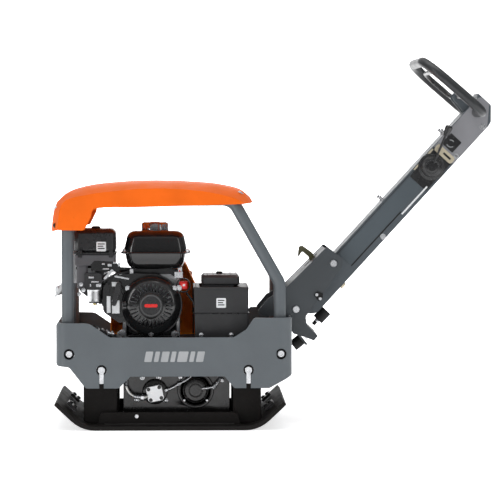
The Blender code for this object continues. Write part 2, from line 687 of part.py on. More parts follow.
def build_recoil():
    """Fan shroud, slotted recoil cover, and the starter grip beside it."""
    x, z = CRANK_X, CRANK_Z
    radius = 0.0905
    outline = arc(x, z, radius, -100, 95, 18)
    outline += [(-0.100, z + 0.092), (-0.160, 0.440), (-0.196, 0.405), (-0.196, 0.332), (-0.150, 0.300)]
    outline += arc(x, z, radius, 212, 250, 4)
    shape = prism(outline, "Y", -0.118, -0.0743)
    shape = cut(shape, rod("Y", (x, 0, z), radius - 0.005, -0.114, -0.05, 28))
    shape = cut(shape, rod("Y", (x, 0, z), 0.066, -0.13, -0.1, 28))
    piece("fan_shroud", shape, ENGINE_BLACK)

    rim = -0.1183
    profile = [(0.0, -0.1515), (0.034, -0.1515), (0.036, -0.149), (0.064, -0.1465), (0.074, -0.139),
               (0.082, -0.132), (0.086, rim), (0.081, rim), (0.078, -0.130), (0.062, -0.1435),
               (0.0, -0.1475)]
    shape = turned(profile, "Y", (x, 0, z), 28)
    for index in range(12):
        slot = box((x + 0.040, -0.160, z - 0.0032), (x + 0.060, -0.130, z + 0.0032))
        shape = cut(shape, turn(slot, (x, 0, z), index * 30.0))
    piece("recoil_cover", shape, ENGINE_BLACK)

    grip = round_corners([(-0.171, 0.352), (-0.158, 0.350), (-0.141, 0.402), (-0.143, 0.420), (-0.156, 0.418),
                          (-0.162, 0.396)], [0.005, 0.005, 0, 0.005, 0.005, 0], 2)
    shape = prism(grip, "Y", -0.148, -0.130)
    piece("starter_grip", shape, BLACK_PLASTIC, (-0.150, -0.139, 0.420))


def build_tank():
    """Fuel tank with a seam flange, and its twist cap."""
    low, high = (-0.127, -0.112, 0.4535), (0.041, 0.084, 0.566)
    upper = box((low[0], low[1], 0.501), high, 0.016)
    lower = box((low[0] + 0.004, low[1] + 0.004, low[2]), (high[0] - 0.004, high[1] - 0.004, 0.505), 0.010)
    seam = prism(rectangle(-0.142, -0.126, 0.055, 0.098, 0.020), "Z", 0.5005, 0.5055)
    shape = join(upper, seam, lower)
    neck = ring("Z", (*TANK_CAP, 0), 0.026, 0.031, 0.560, 0.576, 20)
    shape = join(shape, neck)
    wall = 0.004
    room = box((low[0] + 2 * wall, low[1] + 2 * wall, low[2] + wall),
               (high[0] - 2 * wall, high[1] - 2 * wall, high[2] - wall), 0.014)
    shape = cut(shape, room)
    shape = cut(shape, rod("Z", (*TANK_CAP, 0), 0.026, 0.480, 0.60, 20))
    piece("fuel_tank", shape, ENGINE_BLACK)
    profile = [(0.0, 0.5775), (0.0323, 0.5775), (0.0323, 0.5663), (0.0385, 0.5663), (0.0395, 0.569),
               (0.0395, 0.586), (0.035, 0.590), (0.0, 0.590)]
    piece("fuel_cap", turned(profile, "Z", (*TANK_CAP, 0), 28), CHROME, (*TANK_CAP, 0.580))


def build_intake():
    """Air cleaner box and cover, carburettor and choke lever."""
    lower = box((-0.277, -0.118, 0.4655), (-0.160, 0.010, 0.5005), 0.004)
    stack = box((-0.272, -0.105, 0.398), (-0.2408, -0.070, 0.470), 0.005)
    elbow = box((-0.222, -0.062, 0.430), (-0.184, -0.022, 0.470), 0.004)
    piece("air_cleaner_base", join(lower, stack, elbow), BLACK_PLASTIC)
    cover = box((-0.279, -0.120, 0.5008), (-0.158, 0.012, 0.572), 0.010)
    knob = rod("Z", (-0.218, -0.054, 0), 0.012, 0.570, 0.579, 12)
    piece("air_cleaner_cover", join(cover, knob), BLACK_PLASTIC)

    body = box((-0.240, -0.076, 0.4025), (-0.200, -0.020, 0.4297), 0.003)
    bowl = turned([(0.0, 0.356), (0.018, 0.356), (0.021, 0.362), (0.021, 0.398), (0.0, 0.398)], "Z",
                  (-0.220, -0.092, 0), 16)
    bridge = box((-0.240, -0.106, 0.394), (-0.200, -0.0668, 0.420), 0.003)
    piece("carburettor", join(body, bridge, bowl), CAST_ALUMINIUM)

    outline = round_corners([(-0.212, 0.404), (-0.200, 0.404), (-0.198, 0.440), (-0.210, 0.442)], 0.004, 2)
    piece("choke_lever", prism(outline, "Y", -0.1105, -0.1065), BLACK_PLASTIC, (-0.206, -0.1085, 0.410))

    can = prism(rectangle(-0.318, 0.408, -0.205, 0.4985, 0.018, 3), "Y", 0.018, 0.118)
    pipe = tube(smooth_path([(-0.305, 0.070, 0.415), (-0.315, 0.066, 0.395), (-0.328, 0.060, 0.385),
                             (-0.338, 0.055, 0.383)], 2), 0.014, 12)
    piece("muffler", join(can, pipe), CAST_ALUMINIUM)


def build_engine_controls():
    base = box((0.026, -0.108, 0.396), (0.050, -0.090, 0.420), 0.002)
    key = rod("Y", (0.038, 0, 0.408), 0.0085, -0.118, -0.104, 12)
    piece("engine_switch", join(base, key), RED_PLASTIC, (0.038, -0.100, 0.408))


def build_drive():
    """Crankshaft with web, flywheel fan, centrifugal clutch and V-belt."""
    x, z = CRANK_X, CRANK_Z
    axis = (x, 0.0, z)
    shape = rod("Y", axis, CRANK_RADIUS, -0.100, BELT_Y + 0.020, 16)
    web = round_corners([(x - 0.022, z + 0.022), (x - 0.040, z - 0.030), (x, z - 0.052),
                         (x + 0.040, z - 0.030), (x + 0.022, z + 0.022)], [0.012, 0.02, 0.06, 0.02, 0.012], 2)
    for low, high in ((-0.040, -0.022), (0.022, 0.040)):
        shape = join(shape, prism(web, "Y", low, high))
    piece("crankshaft", shape, STEEL, axis)

    disc = ring("Y", axis, CRANK_RADIUS + GAP, 0.072, -0.092, -0.082, 28)
    for index in range(12):
        blade = box((x + 0.050, -0.108, z - 0.0015), (x + 0.070, -0.091, z + 0.0015))
        disc = join(disc, turn(blade, axis, index * 30.0))
    piece("flywheel", disc, CAST_ALUMINIUM, axis)

    high = BELT_Y + BELT_WIDTH / 2.0 + 0.0058
    shape = pulley_shape(x, z, CRANK_RADIUS + GAP, PULLEY_RADIUS + 0.009, 0.104, high)
    shape = join(shape, turned([(0.020, 0.106), (0.060, 0.106), (0.060, 0.150), (0.020, 0.150)],
                               "Y", axis, 20))
    piece("clutch", shape, STEEL, axis)

    low_c = Vector((SHAFT_FRONT_X, SHAFT_Z))
    high_c = Vector((x, z))
    tilt = math.degrees(math.atan2(*(high_c - low_c).yx)) - 90.0
    inner = PULLEY_RADIUS + 0.0005
    outer = inner + BELT_THICK

    def loop(radius):
        return (arc(*low_c, radius, 180 + tilt, 360 + tilt, 14) + arc(*high_c, radius, tilt, 180 + tilt, 14))

    piece("v_belt", prism(loop(outer), "Y", BELT_Y - BELT_WIDTH / 2, BELT_Y + BELT_WIDTH / 2,
                          holes=[loop(inner)]), RUBBER)


def belt_guard_outline(inset):
    """Side view of the belt guard; inset draws its cavity."""
    return round_corners([(-0.180 + inset, DECK_Z + 0.002), (0.088 - inset, DECK_Z + 0.002),
                          (0.088 - inset, 0.366 - inset * 0.3), (0.042 - inset * 0.7, 0.468 - inset),
                          (-0.092 + inset * 0.7, 0.468 - inset), (-0.180 + inset, 0.352 - inset * 0.3)],
                         [0, 0, 0.02, 0.02, 0.02, 0.02], 3)


def build_belt_guard():
    """A five-sided pressed cover, open towards the engine and below."""
    wall = 0.003
    shape = prism(belt_guard_outline(0.0), "Y", 0.098, 0.2150)
    inside = [(x, z if z > DECK_Z + 0.01 else z - 0.02) for x, z in belt_guard_outline(wall)]
    shape = cut(shape, prism(inside, "Y", 0.090, 0.2150 - wall))
    piece("belt_guard", shape, ORANGE_PAINT)


def build_battery_box():
    """Lidded box beside the engine; its rear lower corner is cut away."""
    low_y, high_y = -0.160, 0.050
    floor = DECK_Z + GAP
    outline = round_corners([(0.072, floor), (0.190, floor), (0.2255, 0.292), (0.2265, 0.406),
                             (0.068, 0.406)],
                            [0.003, 0.01, 0.01, 0.008, 0.008], 3)
    shape = prism(outline, "Y", low_y, high_y)
    shape = cut(shape, box((0.085, low_y + 0.012, floor + 0.02), (0.188, high_y - 0.012, 0.42)))
    piece("battery_box", shape, BLACK_PLASTIC)
    top = 0.4063
    cap = box((0.090, low_y + 0.026, top), (0.201, high_y - 0.026, 0.439), 0.007)
    cap = join(cap, box((0.092, low_y + 0.028, top - 0.010), (0.184, high_y - 0.028, top + 0.004)))
    knob = turned([(0.0, 0.437), (0.009, 0.437), (0.009, 0.443), (0.005, 0.446), (0.0, 0.446)], "Z",
                  (0.143, -0.055, 0), 12)
    piece("battery_lid", join(cap, knob), BLACK_PLASTIC)


# ---- hitch, drawbar and handle -----------------------------------------------------------
def arm_point(along, over, y=0.0):
    """A point given along and over the drawbar's axis, from its pivot."""
    c, s = math.cos(ARM_ANGLE), math.sin(ARM_ANGLE)
    return Vector((ARM_X + along * c - over * s, y, ARM_Z + along * s + over * c))


def arm_prism(outline, low, high, holes=()):
    """A prism drawn in the drawbar's own (along, over) frame."""
    def place(points):
        return [(arm_point(a, b).x, arm_point(a, b).z) for a, b in points]
    return prism(place(outline), "Y", low, high, holes=[place(hole) for hole in holes])


def hitch_outline():
    return round_corners([(0.286, 0.370), (0.255, 0.333), (0.270, 0.3180), (0.334, 0.3160),
                          (0.358, 0.266), (0.394, 0.255), (0.419, 0.245), (0.431, 0.259), (0.398, 0.290),
                          (0.395, 0.316), (0.447, 0.387), (0.502, 0.462), (0.502, 0.486), (0.4565, 0.5200),
                          (0.335, 0.3975)],
                         [0.004, 0.004, 0.004, 0.006, 0.006, 0, 0.004, 0.004, 0.012, 0.012, 0, 0.016,
                          0.016, 0.006, 0.02], 3)


def build_hitch():
    """Two side plates, a top web and a cross tongue, folding on the chassis ears."""
    axis = (FOLD_X, 0.0, FOLD_Z)
    inner = HITCH_HALF - HITCH_WALL
    holes = [circle(FOLD_X, FOLD_Z, PIN_BORE, 16), circle(ARM_X, ARM_Z, PIN_BORE, 16)]
    shape = prism(hitch_outline(), "Y", -HITCH_HALF, -inner, holes=holes)
    shape = join(shape, prism(hitch_outline(), "Y", inner, HITCH_HALF, holes=holes))
    web = [(0.3395, 0.4010), (0.4520, 0.5145), (0.4570, 0.5095), (0.3450, 0.3940)]
    tongue = [(0.3935, 0.2560), (0.4185, 0.2450), (0.4300, 0.2590), (0.4075, 0.2800), (0.4030, 0.2752)]
    lower = [(0.360, 0.2680), (0.395, 0.2560), (0.399, 0.2640), (0.364, 0.2765)]
    reach = inner + HITCH_WALL / 2.0
    for section in (web, tongue, lower):
        shape = join(shape, prism(section, "Y", -reach, reach))
    shape = join(shape, aimed(box((-0.021, -0.024, -0.006), (0.030, 0.024, 0.0)), STOP_FACE, STOP_AIM))
    shape = cut(shape, box((0.396, -0.0115, 0.45), (0.434, 0.0115, 0.53)))
    lug = round_corners([(0.410, 0.464), (0.430, 0.464), (0.437, 0.4945), (0.4035, 0.4615)],
                        [0, 0.003, 0, 0], 2)
    for low, high in ((-0.0155, -0.0113), (0.0113, 0.0155)):
        shape = join(shape, prism(lug, "Y", low, high))
    piece("hitch", shape, DARK_PAINT, axis)

    for name, x, z in (("fold_pin", FOLD_X, FOLD_Z), ("arm_pin", ARM_X, ARM_Z)):
        out = HITCH_HALF + GAP
        profile = [(0.0, -out - 0.007), (0.0115, -out - 0.007), (0.0130, -out - 0.005), (0.0130, -out),
                   (PIN_RADIUS, -out), (PIN_RADIUS, out), (0.0130, out), (0.0130, out + 0.007), (0.0, out + 0.007)]
        piece(name, turned(profile, "Y", (x, 0, z), 12), ZINC, (x, 0.0, z))

    shape = aimed(rod("Z", (0, 0, 0), STOP_RADIUS, GAP, STOP_LENGTH, 16), STOP_FACE, STOP_AIM)
    piece("stop_buffer", shape, RUBBER)


def build_drawbar():
    """The drawbar: a folded channel with a closed head, open underneath near the hitch."""
    axis = (ARM_X, 0.0, ARM_Z)
    half, wall = ARM_HALF, 0.005
    end = ARM_LENGTH
    side = round_corners([(-0.166, -0.028), (-0.156, -0.052), (-0.140, ARM_BOTTOM), (end - 0.050, ARM_BOTTOM),
                          (end - 0.036, ARM_BOTTOM + 0.003), (end, -0.030), (end, ARM_TOP + 0.010),
                          (end - 0.012, ARM_TOP), (-0.150, ARM_TOP)],
                         [0.005, 0.012, 0.02, 0.01, 0.01, 0.008, 0.002, 0.002, 0.02], 2)
    shape = arm_prism(side, -half, half)
    inside = [(-0.30, -0.16), (end - 0.060, -0.16), (end - 0.060, ARM_TOP - wall), (-0.30, ARM_TOP - wall)]
    shape = cut(shape, arm_prism(inside, -half + wall, half - wall))
    sleeve = ring("Y", (ARM_X, 0, ARM_Z), 0.0105, 0.017, -HITCH_HALF + HITCH_WALL + 0.001,
                  HITCH_HALF - HITCH_WALL - 0.001, 16)
    shape = join(cut(shape, rod("Y", (ARM_X, 0, ARM_Z), 0.0125, -0.2, 0.2, 16)), sleeve)
    floor = [(0.02, ARM_BOTTOM + 0.0002), (end - 0.055, ARM_BOTTOM + 0.0002),
             (end - 0.055, ARM_BOTTOM + wall), (0.02, ARM_BOTTOM + wall)]
    shape = join(shape, arm_prism(floor, -half + wall / 2.0, half - wall / 2.0))
    foot = [(-0.148, -0.048), (-0.100, -0.0655), (-0.098, -0.060), (-0.146, -0.0425)]
    shape = join(shape, arm_prism(foot, -half + wall / 2.0, half - wall / 2.0))
    seat = loop_frame(0.0, 0.0)
    shape = cut(shape, rod("Y", seat, LOOP_RADIUS + GAP, -0.2, 0.2, 16))
    pivot = loop_frame(BAIL_PIVOT, 0.0)
    lug = round_corners([(0.585, 0.008), (0.632, 0.008), (0.623, 0.069), (0.594, 0.069)],
                        [0, 0, 0.01, 0.01], 2)
    bore = circle(pivot.x, pivot.z, BAIL_RADIUS + GAP, 12)
    for low, high in ((-0.036, -0.030), (0.030, 0.036)):
        shape = join(shape, arm_prism(lug, low, high))
    shape = cut(shape, prism(bore, "Y", -0.2, 0.2))
    piece("drawbar", shape, DARK_PAINT, axis)


def build_arm_buffer():
    """Height adjuster: rubber buffer with a stud that stands on the hitch tongue."""
    shape = turned([(0.0, 0.0), (0.017, 0.0), (0.017, 0.038), (0.006, 0.038), (0.006, 0.0575),
                    (0.0, 0.0575)], "Z", (0, 0, 0), 16)
    piece("arm_buffer", aimed(shape, ADJUSTER_TOP, ADJUSTER_AIM), RUBBER)


def loop_frame(along, y):
    """A point of the handle loop's plane, square to the drawbar."""
    return arm_point(ARM_LENGTH - 0.044, -0.014) + loop_direction() * along + Vector((0, y, 0))


def loop_direction():
    return Vector((-0.757, 0.0, 0.653)).normalized()


def build_handle():
    """Closed handle loop, control bail, throttle lever and their mounts."""
    corners = [(0.0, -LOOP_HALF), (LOOP_REACH, -LOOP_HALF), (LOOP_REACH, LOOP_HALF), (0.0, LOOP_HALF)]
    flat = round_corners(corners, [0.045, LOOP_CORNER, LOOP_CORNER, 0.045], 5)
    points = [loop_frame(a, b) for a, b in flat]
    shape = tube(points, LOOP_RADIUS, 12, loop=True)
    piece("handle_loop", shape, DARK_PAINT)

    pivot = loop_frame(BAIL_PIVOT, 0.0)
    flat = round_corners([(0.0, -BAIL_HALF), (BAIL_LENGTH, -BAIL_HALF), (BAIL_LENGTH, BAIL_HALF), (0.0, BAIL_HALF)],
                         [0.030, 0.050, 0.050, 0.030], 3)
    path = [pivot + loop_direction() * a + Vector((0, b, 0)) for a, b in flat]
    piece("control_bail", tube(path, BAIL_RADIUS, 8, loop=True), BLACK_PLASTIC, pivot)


def build_throttle():
    spot = arm_point(0.403, -0.024)
    out = -ARM_HALF - GAP
    profile = [(0.0, out), (0.040, out), (0.040, out - 0.003), (0.031, out - 0.005), (0.028, out - 0.013),
               (0.016, out - 0.019), (0.0, out - 0.020)]
    piece("throttle_housing", turned(profile, "Y", (spot.x, 0, spot.z), 24), BLACK_PLASTIC)
    plane = out - 0.020 - GAP
    hub = rod("Y", (spot.x, 0, spot.z), 0.012, plane - 0.008, plane, 16)
    tip = Vector((0.810, plane - 0.006, 0.858))
    start = Vector((spot.x, plane - 0.004, spot.z))
    stem = tube([start, start.lerp(tip, 0.5), tip], 0.0035, 8)
    knob = turned([(0.0, -0.016), (0.008, -0.016), (0.0115, 0.010), (0.009, 0.015), (0.0, 0.016)], "Z",
                  (0, 0, 0), 12)
    lever = join(hub, stem, aimed(knob, tip, tip - start))
    piece("throttle_lever", lever, BLACK_PLASTIC, (spot.x, plane, spot.z))


def build_transport_hook():
    """Hook on the hitch that is turned down over the guard's crossbar once the drawbar is folded."""
    x, z = HOOK_PIVOT
    outline = round_corners([(0.4125, 0.4655), (0.4275, 0.4740), (0.4265, 0.4850), (0.4180, 0.4985),
                             (0.3895, 0.5190), (0.3790, 0.5165), (0.3758, 0.4885), (0.3795, 0.4875),
                             (0.3880, 0.5030), (0.4075, 0.4860)],
                            [0.004, 0.006, 0.006, 0.008, 0.005, 0.004, 0.001, 0.001, 0.004, 0.006], 2)
    piece("transport_hook", prism(outline, "Y", -0.009, 0.009, holes=[circle(x, z, 0.0035, 10)]),
          CHROMATE, (x, 0.0, z))


def build_hoses():
    """Hydraulic lines of the phase cylinder, at the near side of the exciter."""
    near = -EXCITER_Y - 0.050
    route = [(-0.0705, near, 0.0870), (-0.0850, near, 0.0850), (-0.1050, near, 0.0890),
             (-0.1210, near, 0.1030), (-0.1300, near, 0.1220), (-0.1290, near + 0.010, 0.1450), (-0.1180, near + 0.020, 0.1700),
             (-0.1050, near + 0.030, 0.1980), (-0.0950, near + 0.040, 0.2200)]
    piece("hydraulic_hose", tube(smooth_path(route, 2), 0.0052, 8), HOSE)


def main():
    clear_scene()
    build_base_plate()
    build_columns()
    build_exciter()
    build_shafts()
    build_exciter_pulley()
    build_chassis()
    build_guard()
    build_hood()
    build_engine_block()
    build_recoil()
    build_tank()
    build_intake()
    build_engine_controls()
    build_drive()
    build_belt_guard()
    build_battery_box()
    build_hitch()
    build_drawbar()
    build_arm_buffer()
    build_handle()
    build_throttle()
    build_transport_hook()
    build_hoses()


main()
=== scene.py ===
"""Looks of the reversible plate compactor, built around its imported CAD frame.

Everything is in metres in the frame of the CAD: +Z up, +X towards the handle, -Y the recoil side.
"""
import json
import math

import bmesh
import bpy
from mathutils import Matrix, Vector
from mathutils.geometry import tessellate_polygon


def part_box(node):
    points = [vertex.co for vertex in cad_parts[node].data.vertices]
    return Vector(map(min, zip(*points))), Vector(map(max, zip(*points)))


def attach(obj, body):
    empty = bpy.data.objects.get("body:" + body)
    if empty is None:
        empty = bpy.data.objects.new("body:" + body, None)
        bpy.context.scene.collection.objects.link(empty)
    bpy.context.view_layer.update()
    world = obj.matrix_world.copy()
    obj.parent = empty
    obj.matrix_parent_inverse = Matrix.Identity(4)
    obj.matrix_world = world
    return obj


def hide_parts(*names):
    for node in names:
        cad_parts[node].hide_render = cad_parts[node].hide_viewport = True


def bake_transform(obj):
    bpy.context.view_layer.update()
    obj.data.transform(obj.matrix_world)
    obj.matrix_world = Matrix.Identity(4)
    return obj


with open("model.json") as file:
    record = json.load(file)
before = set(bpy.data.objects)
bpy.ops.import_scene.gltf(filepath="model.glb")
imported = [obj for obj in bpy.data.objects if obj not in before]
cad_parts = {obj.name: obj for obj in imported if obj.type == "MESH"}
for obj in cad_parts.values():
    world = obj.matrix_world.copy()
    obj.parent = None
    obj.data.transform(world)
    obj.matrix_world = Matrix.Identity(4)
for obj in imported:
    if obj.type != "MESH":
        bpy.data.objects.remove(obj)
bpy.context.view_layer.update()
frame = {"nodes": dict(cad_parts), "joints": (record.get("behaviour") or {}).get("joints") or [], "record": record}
NODES = frame["nodes"]
BODY_OF = {node: body for body, group in frame["record"]["behaviour"]["bodies"].items() for node in group}
JOINTS = {joint["name"]: joint for joint in frame["joints"]}


# ---- shapes ------------------------------------------------------------------------------
def lay(axis, a, b, height):
    """Drawing plane to space: X drawings are (y, z), Y drawings (x, z), Z drawings (x, y)."""
    if axis == "X":
        return Vector((height, a, b))
    if axis == "Y":
        return Vector((a, height, b))
    return Vector((a, b, height))


def closed(shape):
    bmesh.ops.remove_doubles(shape, verts=shape.verts, dist=1e-6)
    bmesh.ops.recalc_face_normals(shape, faces=shape.faces)
    return shape


def prism(outline, axis, low, high, holes=()):
    """Extrude an outline, with holes, along an axis."""
    shape = bmesh.new()
    loops = [list(outline)] + [list(hole) for hole in holes]
    flat = [point for loop in loops for point in loop]
    triangles = tessellate_polygon([[Vector((a, b, 0.0)) for a, b in loop] for loop in loops])
    ends = []
    for height in (low, high):
        corners = [shape.verts.new(lay(axis, a, b, height)) for a, b in flat]
        for triangle in triangles:
            shape.faces.new([corners[index] for index in triangle])
        ends.append(corners)
    start = 0
    for loop in loops:
        count = len(loop)
        for index in range(count):
            here, after = start + index, start + (index + 1) % count
            shape.faces.new([ends[0][here], ends[0][after], ends[1][after], ends[1][here]])
        start += count
    return closed(shape)


def arc(a, b, radius, first, last, count):
    angles = [math.radians(first + (last - first) * i / count) for i in range(count + 1)]
    return [(a + radius * math.cos(angle), b + radius * math.sin(angle)) for angle in angles]


def circle(a, b, radius, count=32, turn=0.0):
    step = 2.0 * math.pi / count
    return [(a + radius * math.cos(turn + step * i), b + radius * math.sin(turn + step * i))
            for i in range(count)]


def round_corners(points, radius, count=6):
    radii = radius if isinstance(radius, (list, tuple)) else [radius] * len(points)
    out = []
    for index, corner in enumerate(points):
        here = Vector(corner)
        if radii[index] <= 0.0:
            out.append(tuple(here))
            continue
        back = (Vector(points[index - 1]) - here).normalized()
        ahead = (Vector(points[(index + 1) % len(points)]) - here).normalized()
        half = back.angle(ahead) / 2.0
        centre = here + (back + ahead).normalized() * (radii[index] / math.sin(half))
        first = here + back * (radii[index] / math.tan(half)) - centre
        last = here + ahead * (radii[index] / math.tan(half)) - centre
        sweep = first.angle_signed(last)
        out += [tuple(centre + Matrix.Rotation(-sweep * step / count, 2) @ first)
                for step in range(count + 1)]
    return out


def rectangle(a0, b0, a1, b1, radius=0.0, count=6):
    return round_corners([(a0, b0), (a1, b0), (a1, b1), (a0, b1)], radius, count)


def box(low, high):
    return prism(rectangle(low[0], low[1], high[0], high[1]), "Z", low[2], high[2])


def turned(profile, count=48):
    """Turn a (radius, height) profile about +Z; a profile that starts and ends on the axis closes itself."""
    shape = bmesh.new()
    rings = []
    for radius, height in profile:
        around = [(0.0, 0.0)] if radius < 1e-9 else circle(0.0, 0.0, radius, count)
        rings.append([shape.verts.new((a, b, height)) for a, b in around])
    for index, ring in enumerate(rings):
        other = rings[(index + 1) % len(rings)]
        for i in range(count):
            j = (i + 1) % count
            corners = (ring[i % len(ring)], ring[j % len(ring)], other[j % len(other)], other[i % len(other)])
            face = list(dict.fromkeys(corners))
            if len(face) > 2:
                shape.faces.new(face)
    return closed(shape)


def disc(radius, height, count):
    return turned([(0.0, 0.0), (radius, 0.0), (radius, height), (0.0, height)], count)


def aimed(shape, start, direction, roll=0.0):
    """Move a shape drawn along +Z from the origin to start at a point, aimed along a direction."""
    along = Vector(direction).normalized()
    side = Vector((0.0, 1.0, 0.0))
    if abs(along.y) > 0.99:
        side = Vector((0.0, 0.0, 1.0))
    across = side.cross(along).normalized()
    side = along.cross(across)
    turn = Matrix((across, side, along)).transposed().to_4x4()
    spin = Matrix.Rotation(roll, 4, "Z")
    bmesh.ops.transform(shape, verts=shape.verts, matrix=Matrix.Translation(start) @ turn @ spin)
    return shape


def merge(*shapes):
    """Collect shapes into one mesh without joining their surfaces."""
    first = shapes[0]
    for other in shapes[1:]:
        mesh = bpy.data.meshes.new("part")
        other.to_mesh(mesh)
        other.free()
        first.from_mesh(mesh)
        bpy.data.meshes.remove(mesh)
    return first


def smooth_path(points, steps=6, loop=False):
    """Catmull-Rom curve through points."""
    spots = [Vector(point) for point in points]
    if loop:
        spots = [spots[-1]] + spots + spots[:2]
    else:
        spots = [2 * spots[0] - spots[1]] + spots + [2 * spots[-1] - spots[-2]]
    out = []
    for a, b, c, d in zip(spots, spots[1:], spots[2:], spots[3:]):
        for step in range(steps):
            t = step / steps
            out.append(0.5 * (2 * b + (c - a) * t + (2 * a - 5 * b + 4 * c - d) * t * t
                              + (3 * b - a - 3 * c + d) * t ** 3))
    return out if loop else out + [spots[-2]]


def rounded_path(points, radius, count=10):
    """A polyline whose inner corners become arcs."""
    spots = [Vector(point) for point in points]
    out = [spots[0]]
    for before, here, after in zip(spots, spots[1:], spots[2:]):
        back = (before - here).normalized()
        ahead = (after - here).normalized()
        half = back.angle(ahead) / 2.0
        centre = here + (back + ahead).normalized() * (radius / math.sin(half))
        first = here + back * (radius / math.tan(half)) - centre
        last = here + ahead * (radius / math.tan(half)) - centre
        axis = first.cross(last)
        out += [centre + Matrix.Rotation(first.angle(last) * step / count, 3, axis) @ first
                for step in range(count + 1)]
    return out + [spots[-1]]


def tube(points, radius, count=20, loop=False):
    """Sweep a round section, of constant or changing radius, along a path."""
    shape = bmesh.new()
    spots = [Vector(point) for point in points]
    number = len(spots)
    side = None
    rings = []
    for index, spot in enumerate(spots):
        after = spots[(index + 1) % number] if loop or index < number - 1 else spot
        before = spots[index - 1] if loop or index > 0 else spot
        along = (after - before).normalized()
        if side is None:
            side = along.orthogonal().normalized()
        side = (side - along * side.dot(along)).normalized()
        up = along.cross(side)
        size = radius(index / (number - 1)) if callable(radius) else radius
        rings.append([shape.verts.new(spot + side * a + up * b) for a, b in circle(0, 0, size, count)])
    pairs = list(zip(rings, rings[1:]))
    if loop:
        pairs.append((rings[-1], rings[0]))
    else:
        shape.faces.new(rings[0])
        shape.faces.new(rings[-1])
    for here, after in pairs:
        for i in range(count):
            j = (i + 1) % count
            shape.faces.new([here[i], here[j], after[j], after[i]])
    return closed(shape)


def helix(start, direction, radius, wire, turns, length, steps=14):
    """A coil spring along a line."""
    points = []
    for index in range(int(turns * steps) + 1):
        angle = 2.0 * math.pi * index / steps
        points.append(Vector((radius * math.cos(angle), radius * math.sin(angle),
                              length * index / (turns * steps))))
    return aimed(tube(points, wire, 8), start, direction)


def bent_tube(route, steps, radius, count):
    return tube(smooth_path(route, steps), radius, count)


def flat_plate(points, radius, count, low, high):
    """A flat plate drawn as (x, z) corners, rounded, between two Y positions."""
    return prism(round_corners(points, radius, count), "Y", low, high)


def combine(first, second, operation):
    """A Boolean of two closed shapes."""
    pieces = []
    for shape in (first, second):
        mesh = bpy.data.meshes.new("working")
        shape.to_mesh(mesh)
        shape.free()
        piece = bpy.data.objects.new("working", mesh)
        bpy.context.scene.collection.objects.link(piece)
        pieces.append(piece)
    modifier = pieces[0].modifiers.new("boolean", "BOOLEAN")
    modifier.operation = operation
    modifier.object = pieces[1]
    depsgraph = bpy.context.evaluated_depsgraph_get()
    result = bmesh.new()
    result.from_mesh(pieces[0].evaluated_get(depsgraph).to_mesh())
    for piece in pieces:
        bpy.data.objects.remove(piece, do_unlink=True)
    return result


def cut(first, second):
    return combine(first, second, "DIFFERENCE")


def mesh_object(name, shape, surface, crease=None):
    """A smooth-shaded object from a shape, sharp only where faces meet at more than the crease angle."""
    mesh = bpy.data.meshes.new(name)
    shape.to_mesh(mesh)
    shape.free()
    mesh.shade_smooth()
    if crease is not None:
        mesh.set_sharp_from_angle(angle=math.radians(crease))
    mesh.materials.append(surface)
    made = bpy.data.objects.new(name, mesh)
    bpy.context.scene.collection.objects.link(made)
    return made


def node_shape(node):
    """A CAD node's own shape, its doubled corners joined."""
    shape = bmesh.new()
    shape.from_mesh(NODES[node].data)
    bmesh.ops.remove_doubles(shape, verts=shape.verts, dist=2e-6)
    return shape


def show(name, shape, surface, body, bevel=0.0, segments=2, crease=35.0, stands_for=()):
    """Finish a shape as a piece that rides on a body."""
    bmesh.ops.dissolve_limit(shape, angle_limit=0.004, verts=shape.verts, edges=shape.edges)
    piece = mesh_object(name, shape, surface, crease)
    if bevel:
        rounding = piece.modifiers.new("edges", "BEVEL")
        rounding.width = bevel
        rounding.segments = segments
        rounding.limit_method = "ANGLE"
        rounding.angle_limit = math.radians(crease)
        rounding.harden_normals = True
        rounding.use_clamp_overlap = True
    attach(piece, body)
    if stands_for:
        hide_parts(*stands_for)
    return piece


def refine(node, surface, bevel=0.0012, segments=2, crease=35.0):
    """A CAD node's own shape again, with its edges rounded."""
    return show(node + "_finished", node_shape(node), surface, BODY_OF[node], bevel, segments,
                crease, [node])


